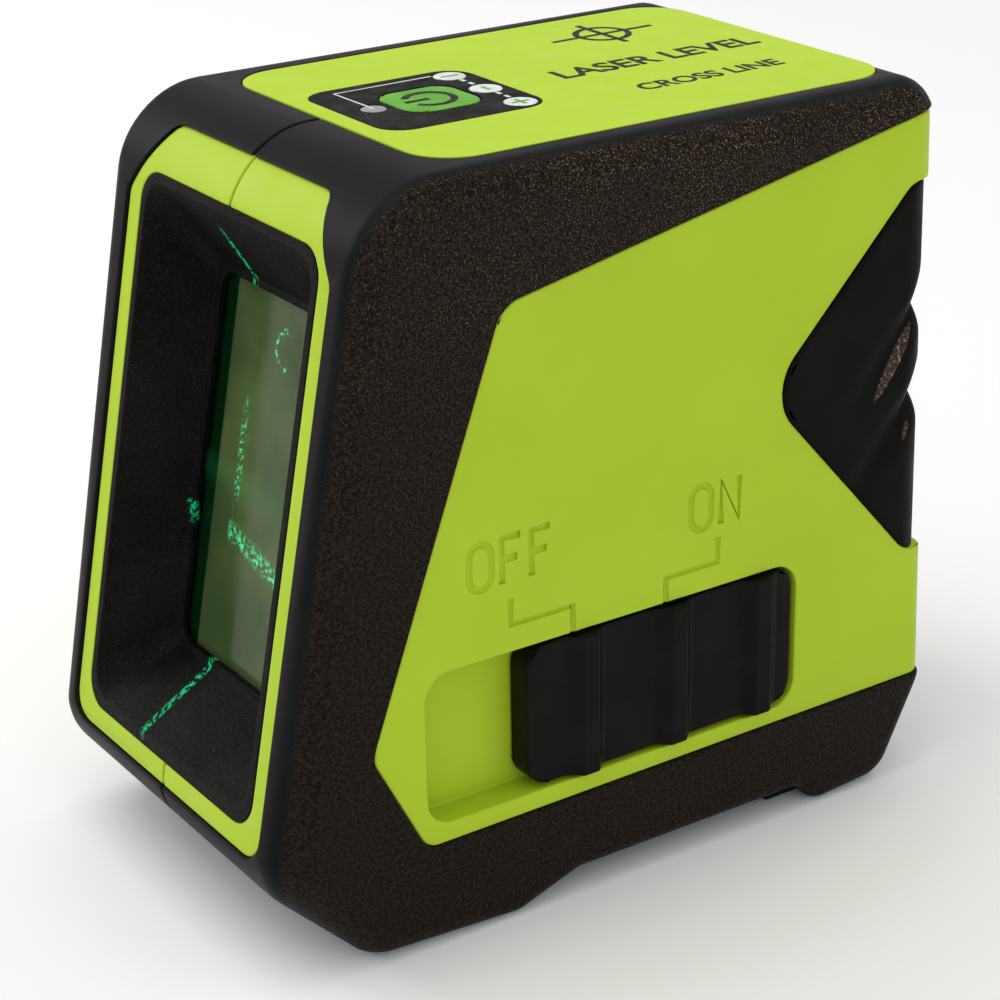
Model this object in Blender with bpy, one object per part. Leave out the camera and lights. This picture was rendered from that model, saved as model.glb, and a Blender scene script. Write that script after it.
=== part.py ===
"""Self-levelling cross-line laser in a two-half moulded case.

Frame: +Z up, the window looks along -Y, the slide switch is on the +X side, and the
origin is the centre of the footprint, on the plane the feet stand on.
Lengths below are in millimetres and angles in degrees; each mesh is scaled to metres.
"""

import math

import bmesh
import bpy
from mathutils import Matrix, Vector

MM = 0.001

# Overall case
HEIGHT = 96.0
HALF = 30.0  # half the width
LEAN = 11.1  # how far the front plane leans back
NOSE_Y, NOSE_Z = -50.5, 13.6  # where the front plane meets the chamfer under it
RELIEF = 3.0  # clearance under the base between the feet
SKIN = 2.0  # rubber over-moulding
PROUD = 0.4  # the rubber stands this far above the exposed plastic
WALL = 2.0
GAP = 0.3  # between pieces that touch
SEAM = 0.15  # each half stops this far from the middle plane

# Exposed plastic
PANEL = (  # side panel outline without the grip's notch: Y, Z, corner radius
    (-29.4, 13.8, 2.5), (60.0, 14.5, 1.0), (60.0, 91.9, 1.0),
    (45.7, 91.9, 2.5), (-17.4, 79.8, 4.0), (-36.6, 28.0, 3.0),
)
NOTCH = (  # finger grip, a V that runs into the side panel from behind
    (21.6, 60.0, 6.5), (45.5, 32.9, 4.0), (60.0, 32.9, 1.0), (60.0, 83.2, 1.0), (44.2, 83.2, 3.0),
)
FINGER_VALLEYS, VALLEY_Y, VALLEY_R = (55.3, 67.3), 49.7, 2.4  # grooves across the grip
GRIP_BACK = 48.3  # the grip stays just inside the back of the case
FACE_FRAME = (  # plastic around the window: X, Z, corner radius
    (-24.3, 15.6, 4.0), (24.3, 15.6, 4.0), (24.3, 84.5, 2.0),
    (18.0, 93.0, 2.0), (-18.0, 93.0, 2.0), (-24.3, 84.5, 2.0),
)
LABEL_X, LABEL_Y0, LABEL_Y1, LABEL_R = 24.4, -22.4, 45.4, 6.5
LABEL_THICK = 0.5

# Window, measured in the leaning front plane: up along it from FUNNEL_Z, and depth behind it
FUNNEL_Z = 19.7
MOUTH_X, MOUTH_TOP, MOUTH_R = 20.4, 68.4, 4.0
THROAT_X, THROAT_0, THROAT_1, THROAT_R = 15.6, 8.6, 59.2, 2.5
THROAT_DEPTH = 9.0
BEZEL_DEPTH = 13.0
BEZEL_FRONT = (21.4, -1.0, 69.4, 4.0)  # outside of the bezel: half width, low, high, corner radius
BEZEL_BACK = (17.9, 6.2, 61.6, 3.0)
GLASS_DEPTH, GLASS_THICK = 10.3, 1.5
GASKET_X = 10.1  # half width of the clear part of the window

# Slide switch
SLOT_Y0, SLOT_Y1, SLOT_Z0, SLOT_Z1, SLOT_R = -29.1, 27.0, 16.4, 36.4, 3.5
SLOT_FLOOR = 25.3
KNOB_Y0, KNOB_Y1 = -14.6, 26.5
KNOB_FACE = 29.5
RIB_Y, RIB_PITCH, RIB_WIDTH, RIB_TALL = -6.0, 13.5, 3.2, 1.4
SWITCH_TRAVEL = 13.4
STEM_Y0, STEM_Y1, STEM_Z0, STEM_Z1 = 0.0, 12.0, 22.0, 30.0

# Keypad on the label
KEY_X, KEY_Y0, KEY_Y1, KEY_R = 10.8, -19.7, 3.3, 3.8
BUTTON_X, BUTTON_Y0, BUTTON_Y1, BUTTON_R = 5.2, -12.8, -2.2, 3.0
BUTTON_TRAVEL = 0.4
LEDS = {  # X, Y, radius
    "led_lock": (0.0, -15.4, 1.6), "led_vertical": (-7.8, 0.4, 2.1),
    "led_cross": (0.0, 0.6, 2.1), "led_horizontal": (7.8, 0.4, 2.1),
}

# Pendulum
PIVOT_Y, PIVOT_Z = -6.0, 74.0
PIN_R, BEARING_R, BEARING_LONG = 1.5, 3.5, 2.5
LASER_R, LASER_LONG = 4.2, 18.0

# Transport lock
LEVER_Y, LEVER_Z = 12.0, 14.0
PEG_Z, PEG_R = 32.0, 1.2
LEVER_SWING = math.degrees(2 * math.atan(SWITCH_TRAVEL / 2 / (PEG_Z - LEVER_Z)))
LEVER_REST = LEVER_SWING / 2

# Batteries and their door
CELL_R, CELL_TALL, CELL_PITCH, CELL_Y, CELL_Z = 7.0, 50.0, 15.1, 35.6, 12.5
DOOR_X, DOOR_Y0, DOOR_Y1 = 23.0, 26.2, 42.7
DOOR_Z0, DOOR_THICK = 1.2, 2.8
DOOR_PIVOT_Y, DOOR_PIVOT_Z = 27.6, 2.6

# Tripod thread: quarter-inch, as its major diameter
TRIPOD_Y, TRIPOD_BORE, TRIPOD_R, TRIPOD_TOP = 4.0, 6.35, 5.5, 11.0

SCREWS = ((-37.5, 13.0), (22.0, 11.9), (40.5, 86.0), (-20.5, 86.4))  # case screws: Y, Z
BOSS_R = 3.6

FINISHES = {  # colour, roughness, metallic
    "lime_abs": ((0.42, 0.66, 0.03), 0.42, 0.0),
    "rubber": ((0.022, 0.019, 0.018), 0.7, 0.0),
    "black_abs": ((0.012, 0.012, 0.013), 0.35, 0.0),
    "glass": ((0.55, 0.72, 0.66), 0.05, 0.0),
    "label": ((0.42, 0.66, 0.03), 0.35, 0.0),
    "white_light": ((0.9, 0.92, 0.9), 0.3, 0.0),
    "green_light": ((0.08, 0.62, 0.1), 0.3, 0.0),
    "steel": ((0.6, 0.6, 0.62), 0.3, 1.0),
    "brass": ((0.78, 0.57, 0.25), 0.3, 1.0),
    "copper": ((0.72, 0.36, 0.22), 0.3, 1.0),
    "zinc": ((0.5, 0.5, 0.52), 0.45, 1.0),
    "board": ((0.02, 0.2, 0.08), 0.5, 0.0),
    "cell": ((0.75, 0.75, 0.72), 0.3, 0.2),
}


# ---------------------------------------------------------------- shape helpers


def front_y(z):
    """Y of the leaning front plane at height z."""
    return NOSE_Y + (z - NOSE_Z) * math.tan(math.radians(LEAN))


def rounded(corners, grow=0.0, step=18.0):
    """Points and outward normals of a counter-clockwise outline with filleted corners.

    Each corner is (u, v, radius, ...); what follows the radius is carried to its points.
    """
    result = []
    count = len(corners)
    for i, corner in enumerate(corners):
        point = Vector(corner[:2])
        before = (point - Vector(corners[i - 1][:2])).normalized()
        after = (Vector(corners[(i + 1) % count][:2]) - point).normalized()
        turn = math.atan2(before.cross(after), before.dot(after))
        radius = corner[2]
        start = point - before * radius * math.tan(abs(turn) / 2)
        side = math.copysign(1.0, turn)
        centre = start + side * radius * Vector((-before.y, before.x))
        pieces = max(2, round(abs(math.degrees(turn)) / step))
        for k in range(pieces + 1):
            spin = Matrix.Rotation(turn * k / pieces, 2)
            normal = spin @ Vector((before.y, -before.x))
            result.append((centre + side * radius * normal + grow * normal, normal, corner[3:]))
    return result


def object_from(bm, name):
    """A millimetre bmesh as an object in metres, with its normals outward."""
    bmesh.ops.remove_doubles(bm, verts=bm.verts, dist=1e-4)
    bmesh.ops.recalc_face_normals(bm, faces=bm.faces)
    bmesh.ops.scale(bm, vec=(MM, MM, MM), verts=bm.verts)
    mesh = bpy.data.meshes.new(name)
    bm.to_mesh(mesh)
    bm.free()
    made = bpy.data.objects.new(name, mesh)
    bpy.context.scene.collection.objects.link(made)
    return made


def paint(made, finish):
    """Gives the object its own material, and smooth shading with sharp corners kept."""
    colour, roughness, metallic = FINISHES[finish]
    material = bpy.data.materials.new(made.name)
    material.use_nodes = True
    shader = material.node_tree.nodes["Principled BSDF"]
    shader.inputs["Base Color"].default_value = (*colour, 1.0)
    shader.inputs["Roughness"].default_value = roughness
    shader.inputs["Metallic"].default_value = metallic
    if finish == "glass":
        shader.inputs["Transmission Weight"].default_value = 0.9
    made.data.materials.clear()
    made.data.materials.append(material)
    made.data.shade_smooth()
    made.data.set_sharp_from_angle(angle=math.radians(35))


def add_loft(bm, rings):
    """A closed body through rings of equal length, capped at both ends."""
    loops = [[bm.verts.new(point) for point in ring] for ring in rings]
    for low, high in zip(loops, loops[1:]):
        for k in range(len(low)):
            n = (k + 1) % len(low)
            bm.faces.new((low[k], low[n], high[n], high[k]))
    bm.faces.new(loops[0])
    bm.faces.new(loops[-1])


def add_prism(bm, corners, axis, low, high, grow=0.0):
    """An outline pushed along an axis. X takes (Y, Z) corners, Y takes (X, Z), Z takes (X, Y)."""
    points = [tuple(point) for point, _, _ in rounded(corners, grow)]
    place = {
        "X": lambda u, v, w: (w, u, v),
        "Y": lambda u, v, w: (u, w, v),
        "Z": lambda u, v, w: (u, v, w),
    }[axis]
    add_loft(bm, [[place(u, v, w) for u, v in points] for w in (low, high)])


def prism(corners, axis, low, high, grow=0.0):
    bm = bmesh.new()
    add_prism(bm, corners, axis, low, high, grow)
    return object_from(bm, "prism")


def slab(u0, u1, v0, v1, radius):
    """Corners of an upright rounded rectangle."""
    return (u0, v0, radius), (u1, v0, radius), (u1, v1, radius), (u0, v1, radius)


def block(low, high, bevel=0.0):
    """An axis-aligned box between two corners."""
    bm = bmesh.new()
    size = [b - a for a, b in zip(low, high)]
    middle = [(a + b) / 2 for a, b in zip(low, high)]
    bmesh.ops.create_cube(bm, size=1.0, matrix=Matrix.Translation(middle) @ Matrix.Diagonal((*size, 1)))
    if bevel:
        bmesh.ops.bevel(
            bm, geom=bm.edges[:], offset=bevel, segments=2, profile=0.5, affect="EDGES", material=-1
        )
    return object_from(bm, "block")


AXES = {"X": Matrix.Rotation(math.radians(90), 4, "Y"), "Y": Matrix.Rotation(math.radians(-90), 4, "X")}


def rod(radius, start, length, axis="Z", sides=20):
    """A cylinder from its start point along +axis."""
    bm = bmesh.new()
    turn = AXES.get(axis, Matrix.Identity(4))
    middle = Matrix.Translation(start) @ turn @ Matrix.Translation((0, 0, length / 2))
    bmesh.ops.create_cone(
        bm, cap_ends=True, segments=sides, radius1=radius, radius2=radius, depth=length, matrix=middle
    )
    return object_from(bm, "rod")


def combine(target, tool, operation, keep=False):
    """Applies one exact Boolean to the target's mesh. The tool goes unless it is kept."""
    step = target.modifiers.new(operation.title(), "BOOLEAN")
    step.operation = operation
    step.solver = "EXACT"
    step.object = tool
    bpy.context.view_layer.update()
    graph = bpy.context.evaluated_depsgraph_get()
    mesh = bpy.data.meshes.new_from_object(target.evaluated_get(graph))
    target.modifiers.clear()
    old, target.data = target.data, mesh
    bpy.data.meshes.remove(old)
    if not keep:
        bpy.data.objects.remove(tool)
    return target


def cut(target, *tools):
    for tool in tools:
        combine(target, tool, "DIFFERENCE")
    return target


def join(target, *tools):
    for tool in tools:
        combine(target, tool, "UNION")
    return target


def overlap(target, tool):
    return combine(target, tool, "INTERSECT")


def copy_of(source, name):
    made = source.copy()
    made.data = source.data.copy()
    made.name = name
    bpy.context.scene.collection.objects.link(made)
    return made


def finished(made, name, finish):
    made.name = name
    made.data.name = name
    paint(made, finish)
    return made


def half_space(side):
    """Everything on one side of the middle plane, less the seam."""
    near, far = side * SEAM, side * 60.0
    return block((min(near, far), -80, -20), (max(near, far), 80, 120))


# ---------------------------------------------------------------- case


def outer_profile():
    """Side view of the rubber's outside: Y, Z, corner radius, edge radius towards the side."""
    return (
        (-36.6, 0.0, 6.0, 4.0), (-16.0, 0.0, 3.0, 2.0), (-7.0, RELIEF, 3.0, 2.0),
        (28.6, RELIEF, 3.0, 2.0), (31.4, 0.0, 3.0, 2.0), (43.3, 0.0, 5.0, 3.0),
        (50.2, 13.5, 6.0, 3.0), (48.9, HEIGHT, 5.5, 4.5),
        (front_y(HEIGHT), HEIGHT, 12.0, 3.5), (NOSE_Y, NOSE_Z, 7.0, 5.0),
    )


def plain_profile():
    """The same without the feet and set in behind the grip, which the plastic core follows."""
    return (
        (-39.6, RELIEF, 6.0, 5.0), (44.6, RELIEF, 7.0, 5.0), (48.4, 10.4, 6.0, 5.0),
        (48.4, HEIGHT, 6.0, 5.0), (front_y(HEIGHT), HEIGHT, 12.0, 5.0), (NOSE_Y, NOSE_Z, 7.0, 5.0),
    )


def rounded_body(profile, inset=0.0, arcs=3):
    """The case form: a side view carried across the width, its edges rounded into both sides."""
    outline = rounded(profile)
    wide = HALF - inset
    rings = []
    for side in (-1, 1):
        angles = [90.0 * k / arcs for k in range(arcs + 1)]
        for angle in angles if side < 0 else reversed(angles):
            rise, run = math.sin(math.radians(angle)), math.cos(math.radians(angle))
            ring = []
            for point, normal, (edge,) in outline:
                edge = max(edge - inset, 0.3)
                spot = point - normal * (inset + edge * (1 - rise))
                ring.append((side * (wide - edge * (1 - run)), spot.x, spot.y))
            rings.append(ring)
    bm = bmesh.new()
    add_loft(bm, rings)
    return object_from(bm, "body")


def lean(bm):
    """Carries (X, depth, up) coordinates of the window into the leaning front plane."""
    origin = Matrix.Translation((0, front_y(FUNNEL_Z), FUNNEL_Z))
    bmesh.ops.transform(bm, matrix=origin @ Matrix.Rotation(math.radians(-LEAN), 4, "X"), verts=bm.verts)


def leaning_loft(stations, grow=0.0):
    """A loft through rounded rectangles behind the front plane: depth, half width, low, high, radius."""
    bm = bmesh.new()
    rings = []
    for depth, x, low, high, radius in stations:
        corners = slab(-x, x, low, high, radius)
        rings.append([(p.x, depth, p.y) for p, _, _ in rounded(corners, grow, step=30.0)])
    add_loft(bm, rings)
    lean(bm)
    return object_from(bm, "loft")


def bezel_station(depth):
    """Half width, low, high and corner radius of the bezel's outside, tapering evenly with depth."""
    share = (depth - PROUD) / (BEZEL_DEPTH - PROUD)
    return depth, *(a + (b - a) * share for a, b in zip(BEZEL_FRONT, BEZEL_BACK))


def bezel_outside(front=PROUD, grow=0.0):
    return leaning_loft((bezel_station(front), bezel_station(BEZEL_DEPTH + grow)), grow)


def screw_bosses(side):
    """Pillars that run from the side wall to the seam, one for each case screw."""
    start = min(side * SEAM, side * 27.0)
    return [rod(BOSS_R, (start, y, z), 27.0 - SEAM, "X", sides=16) for y, z in SCREWS]


def door_opening(grow):
    low = (-DOOR_X - grow, DOOR_Y0 - grow, -2.0)
    return block(low, (DOOR_X + grow, DOOR_Y1 + grow, 12.0))


def hinge_ear(side, grow=0.0):
    """Plastic lug beside the battery door that holds its pin."""
    near, far = 23.7 - grow, 27.0 + grow
    low, high = sorted((side * near, side * far))
    return block((low, 24.9 - grow, 1.0 - grow), (high, 30.3 + grow, 8.0))


def pin_bore(side):
    return rod(1.0, (min(0, side * 26.6), DOOR_PIVOT_Y, DOOR_PIVOT_Z), 26.6, "X", sides=16)


def light_holes():
    """Holes through the top for the four lights and the button's stem, and the button's pocket."""
    holes = [rod(radius + GAP, (x, y, 88.0), 12.0, sides=16) for x, y, radius in LEDS.values()]
    middle = (BUTTON_Y0 + BUTTON_Y1) / 2
    button = slab(-BUTTON_X, BUTTON_X, BUTTON_Y0, BUTTON_Y1, BUTTON_R)
    pocket = prism(button, "Z", HEIGHT - LABEL_THICK - 0.6 - 2 * BUTTON_TRAVEL, HEIGHT + 1, GAP)
    return [*holes, rod(2.4, (0, middle, 88.0), 12.0, sides=12), pocket]


def case_plastic():
    """Both halves' plastic in one piece: a hollow core with the exposed areas raised on it."""
    panel = prism(PANEL, "X", -40, 40)
    cut(panel, prism(NOTCH, "X", -41, 41))
    raised = join(panel, prism(FACE_FRAME, "Y", -60, -20))
    overlap(raised, rounded_body(outer_profile(), PROUD))
    core = rounded_body(plain_profile(), SKIN)
    join(core, raised)
    top = slab(-LABEL_X, LABEL_X, LABEL_Y0, LABEL_Y1, LABEL_R)
    join(core, prism(top, "Z", 90.0, HEIGHT - LABEL_THICK - GAP))
    cut(core, rounded_body(plain_profile(), SKIN + WALL))
    return core


def build_shells():
    core = case_plastic()
    for side, name in ((1, "right_shell"), (-1, "left_shell")):
        shell = overlap(copy_of(core, name), half_space(side))
        join(shell, *screw_bosses(side))
        join(shell, hinge_ear(side))
        cut(shell, bezel_outside(-4.0, GAP), door_opening(GAP), pin_bore(side))
        cut(shell, rod(TRIPOD_R + GAP, (0, TRIPOD_Y, -2), 12.0, sides=24), *light_holes())
        for y, z in SCREWS:
            if side > 0:
                cut(shell, rod(1.6, (-1, y, z), 11.0, "X", sides=12))
            else:
                cut(shell, rod(1.6, (-30, y, z), 31.0, "X", sides=12))
                cut(shell, rod(3.0, (-32, y, z), 8.4, "X", sides=16))
        if side > 0:
            cut_switch_slot(shell)
        finished(shell, name, "lime_abs")
    bpy.data.objects.remove(core)


def cut_switch_slot(shell):
    """The slide switch's recess, in a pocket on the inside of the right wall."""
    pocket = (23.3, SLOT_Y0 - 2, SLOT_Z0 - 2), (27.0, SLOT_Y1 + 2, SLOT_Z1 + 2)
    join(shell, block(*pocket))
    recess = slab(SLOT_Y0, SLOT_Y1, SLOT_Z0, SLOT_Z1, SLOT_R)
    cut(shell, prism(recess, "X", SLOT_FLOOR, 35.0))
    low = STEM_Y0 - SWITCH_TRAVEL - 0.5
    cut(shell, block((20.0, low, STEM_Z0 - 0.5), (28.0, STEM_Y1 + 0.5, STEM_Z1 + 0.5)))


def build_bumpers():
    """Rubber over the edges, base and feet, open over the panels, label and window frame."""
    skin = rounded_body(outer_profile())
    cut(skin, rounded_body(plain_profile(), SKIN - GAP))
    cut(skin, prism(PANEL, "X", -40, 40, GAP), prism(FACE_FRAME, "Y", -60, -20, GAP))
    top = slab(-LABEL_X, LABEL_X, LABEL_Y0, LABEL_Y1, LABEL_R)
    cut(skin, prism(top, "Z", 85.0, 100.0, GAP), door_opening(2 * GAP))
    cut(skin, rod(TRIPOD_R + GAP, (0, TRIPOD_Y, -2), 12.0, sides=24))
    for side, name in ((1, "right_bumper"), (-1, "left_bumper")):
        bumper = overlap(copy_of(skin, name), half_space(side))
        cut(bumper, hinge_ear(side, GAP))
        if side < 0:
            for y, z in SCREWS:
                cut(bumper, rod(3.2, (-32, y, z), 6.0, "X", sides=16))
        finished(bumper, name, "rubber")
    bpy.data.objects.remove(skin)


def build_grips():
    """Rubber finger grip at the back, wrapped round both rear corners, with two finger valleys."""
    pad = rounded_body(outer_profile())
    overlap(pad, prism(NOTCH, "X", -40, 40, -GAP))
    cut(pad, rounded_body(plain_profile(), SKIN - GAP))
    cut(pad, block((-40, GRIP_BACK, 20), (40, 70, 95)))
    for z in FINGER_VALLEYS:
        cut(pad, rod(VALLEY_R, (-40, VALLEY_Y, z), 80.0, "X", sides=16))
    for side, name in ((1, "right_grip"), (-1, "left_grip")):
        finished(overlap(copy_of(pad, name), half_space(side)), name, "rubber")
    bpy.data.objects.remove(pad)


def build_window():
    bezel = bezel_outside()
    mouth = (-1.0, MOUTH_X + 0.4, -0.4, MOUTH_TOP + 1.4, MOUTH_R)
    throat = (THROAT_DEPTH, THROAT_X, THROAT_0, THROAT_1, THROAT_R)
    cut(bezel, leaning_loft((mouth, throat)))
    step = (THROAT_X - 1, THROAT_0 + 1, THROAT_1 - 1, THROAT_R)
    cut(bezel, leaning_loft(((THROAT_DEPTH - 2, *step), (BEZEL_DEPTH + 2, *step))))
    seat = (THROAT_X + 0.8, THROAT_0 - 0.8, THROAT_1 + 0.8, THROAT_R)
    cut(bezel, leaning_loft(((GLASS_DEPTH - GAP, *seat), (BEZEL_DEPTH + 2, *seat))))
    finished(bezel, "window_bezel", "black_abs")
    pane = (THROAT_X + 0.5, THROAT_0 - 0.5, THROAT_1 + 0.5, THROAT_R)
    back = GLASS_DEPTH + GLASS_THICK
    glass = leaning_loft(((GLASS_DEPTH, *pane), (back, *pane)))
    finished(glass, "window_glass", "glass")
    gasket = leaning_loft(((back + GAP, *pane), (BEZEL_DEPTH, *pane)))
    hole = (GASKET_X, THROAT_0 + 0.6, THROAT_1 - 0.6, 1.0)
    cut(gasket, leaning_loft(((back - 1, *hole), (BEZEL_DEPTH + 1, *hole))))
    finished(gasket, "window_gasket", "rubber")


def build_label():
    """Printed label, with the keypad sheet let into it, the button and the four lights."""
    low = HEIGHT - LABEL_THICK
    key = slab(-KEY_X, KEY_X, KEY_Y0, KEY_Y1, KEY_R)
    label = prism(slab(-LABEL_X, LABEL_X, LABEL_Y0, LABEL_Y1, LABEL_R), "Z", low, HEIGHT)
    cut(label, prism(key, "Z", low - 1, HEIGHT + 1, GAP / 2))
    finished(label, "top_label", "label")
    sheet = prism(key, "Z", low, HEIGHT)
    button = slab(-BUTTON_X, BUTTON_X, BUTTON_Y0, BUTTON_Y1, BUTTON_R)
    cut(sheet, prism(button, "Z", low - 1, HEIGHT + 1, GAP / 2))
    for x, y, radius in LEDS.values():
        cut(sheet, rod(radius + GAP / 2, (x, y, low - 1), 3.0, sides=20))
    finished(sheet, "keypad_overlay", "black_abs")
    cap = prism(button, "Z", low - 0.6, HEIGHT - 0.02)
    middle = (BUTTON_Y0 + BUTTON_Y1) / 2
    join(cap, rod(2.0, (0, middle, 91.9), 3.5, sides=16))
    finished(cap, "power_button", "green_light")
    for name, (x, y, radius) in LEDS.items():
        finish = "zinc" if name == "led_lock" else "white_light"
        finished(rod(radius, (x, y, 92.6), HEIGHT - 0.02 - 92.6, sides=20), name, finish)


# ---------------------------------------------------------------- slide switch and transport lock


def build_knob():
    """Slide knob with three upright ribs, hollow behind for the carriage's stem."""
    body = slab(KNOB_Y0, KNOB_Y1, SLOT_Z0 + 0.5, SLOT_Z1 - 0.5, 3.0)
    knob = prism(body, "X", SLOT_FLOOR + GAP, KNOB_FACE)
    for i in range(3):
        y = RIB_Y + i * RIB_PITCH
        rib = (KNOB_FACE - 1.5, y - RIB_WIDTH / 2, SLOT_Z0 + 0.8)
        join(knob, block(rib, (KNOB_FACE + RIB_TALL, y + RIB_WIDTH / 2, SLOT_Z1 - 0.8), bevel=0.5))
    socket = (SLOT_FLOOR - 1, STEM_Y0 - GAP, STEM_Z0 - GAP)
    cut(knob, block(socket, (27.5 + GAP, STEM_Y1 + GAP, STEM_Z1 + GAP)))
    for y in (3.0, 9.0):
        cut(knob, rod(1.4, (27.0, y, 26.0), 1.9, "X", sides=12))
    finished(knob, "switch_knob", "black_abs")


def build_carriage():
    """Inner slider: a plate behind the wall, a stem through it and a peg that works the lock."""
    plate = block((20.7, -2.0, 20.0), (22.9, 21.2, 35.0))
    join(plate, block((22.0, STEM_Y0, STEM_Z0), (27.5, STEM_Y1, STEM_Z1)))
    peg_y = LEVER_Y + SWITCH_TRAVEL / 2
    join(plate, rod(PEG_R, (15.6, peg_y, PEG_Z), 6.0, "X", sides=12))
    for i, y in enumerate((3.0, 9.0)):
        cut(plate, rod(1.4, (19.0, y, 26.0), 10.0, "X", sides=12))
        screw = rod(1.1, (20.0, y, 26.0), 8.6, "X", sides=12)
        finished(join(screw, rod(2.1, (18.9, y, 26.0), 1.5, "X", sides=12)), f"carriage_screw_{i + 1}", "steel")
    finished(plate, "switch_carriage", "black_abs")
    spring = block((21.0, -6.0, 36.0), (22.6, 24.0, 36.5))
    join(spring, block((21.0, 20.0, 35.4), (22.6, 22.0, 36.3)))
    finished(spring, "detent_spring", "steel")


def turned_about_lever(made, angle):
    """Turns an object about the lock lever's axis."""
    centre = Vector((0, LEVER_Y, LEVER_Z)) * MM
    spin = Matrix.Rotation(math.radians(angle), 4, "X")
    made.data.transform(Matrix.Translation(centre) @ spin @ Matrix.Translation(-centre))
    return made


def build_lock():
    """Rocker that brings a rubber pad up behind the pendulum's tail when the switch is off."""
    lever = rod(2.5, (-5.0, LEVER_Y, LEVER_Z), 24.7, "X")
    reach = PEG_Z - LEVER_Z
    arm = block((16.0, LEVER_Y - 3, LEVER_Z), (19.7, LEVER_Y + 3, LEVER_Z + reach + 4))
    slot = PEG_R + 0.5
    cut(arm, block((15, LEVER_Y - slot, LEVER_Z + reach - 3), (21, LEVER_Y + slot, LEVER_Z + reach + 9)))
    join(lever, turned_about_lever(arm, -LEVER_REST))
    finger_turn = LEVER_SWING - 18.0
    finger = block((-4, LEVER_Y - 1.5, LEVER_Z), (4, LEVER_Y + 1.5, LEVER_Z + 14))
    join(lever, turned_about_lever(finger, -finger_turn))
    cut(lever, rod(1.5, (-8, LEVER_Y, LEVER_Z), 32, "X", sides=12))
    finished(lever, "lock_lever", "black_abs")
    low = (-3.5, LEVER_Y - 3.5, LEVER_Z + 10)
    pad = block(low, (3.5, LEVER_Y - 1.5 - GAP, LEVER_Z + 13.6), bevel=0.4)
    finished(turned_about_lever(pad, -finger_turn), "lock_pad", "rubber")
    finished(rod(1.2, (-8.4, LEVER_Y, LEVER_Z), 31.0, "X", sides=12), "lever_pin", "steel")


# ---------------------------------------------------------------- pendulum


def build_frame():
    """Die-cast chassis: base plate, two uprights with the pitch bearings, ears for the lock's pin."""
    frame = block((-21, -24, 8), (22.6, 16.5, 10))
    for side in (-1, 1):
        x0, x1 = sorted((side * 14.3, side * 18.3))
        join(frame, block((x0, PIVOT_Y - 5, 9), (x1, PIVOT_Y + 5, 80)))
        cut(frame, rod(BEARING_R + GAP, (x0 - 1, PIVOT_Y, PIVOT_Z), 6.0, "X"))
    for x0, x1 in ((-8.6, -6.0), (20.2, 22.6)):
        ear = block((x0, LEVER_Y - 2.6, 9), (x1, LEVER_Y + 2.6, 17))
        join(frame, cut(ear, rod(1.5, (x0 - 1, LEVER_Y, LEVER_Z), 5.0, "X", sides=12)))
    cut(frame, rod(TRIPOD_R + 0.6, (0, TRIPOD_Y, 5), 8.0, sides=24))
    finished(frame, "pendulum_frame", "zinc")


def bearing(start, axis, name):
    race = rod(BEARING_R, start, BEARING_LONG, axis, sides=20)
    back = Vector(start) - Vector({"X": (1, 0, 0), "Y": (0, 1, 0)}[axis])
    finished(cut(race, rod(PIN_R + GAP, tuple(back), 6.0, axis, sides=16)), name, "steel")


def build_gimbal():
    """Ring between the two tilt axes, with pins in the frame's bearings and bearings of its own."""
    ring = block((-12.8, PIVOT_Y - 10, 69), (12.8, PIVOT_Y + 10, 79))
    cut(ring, block((-9, PIVOT_Y - 6, 60), (9, PIVOT_Y + 6, 90)))
    cut(ring, rod(PIN_R + GAP, (-14, PIVOT_Y, PIVOT_Z), 28, "X", sides=16))
    cut(ring, rod(BEARING_R + GAP, (0, PIVOT_Y - 12, PIVOT_Z), 24, "Y"))
    finished(ring, "gimbal_ring", "zinc")
    for side, word in ((-1, "left"), (1, "right")):
        x0 = min(side * 9.4, side * 18.4)
        finished(rod(PIN_R, (x0, PIVOT_Y, PIVOT_Z), 9.0, "X", sides=16), f"pitch_pin_{word}", "steel")
        bearing((min(side * 15.1, side * 17.6), PIVOT_Y, PIVOT_Z), "X", f"pitch_bearing_{word}")
    for side, word in ((-1, "front"), (1, "rear")):
        y0 = PIVOT_Y + min(side * 1.0, side * 9.6)
        finished(rod(PIN_R, (0, y0, PIVOT_Z), 8.6, "Y", sides=16), f"roll_pin_{word}", "steel")
        bearing((0, PIVOT_Y + min(side * 6.8, side * 9.3), PIVOT_Z), "Y", f"roll_bearing_{word}")


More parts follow.
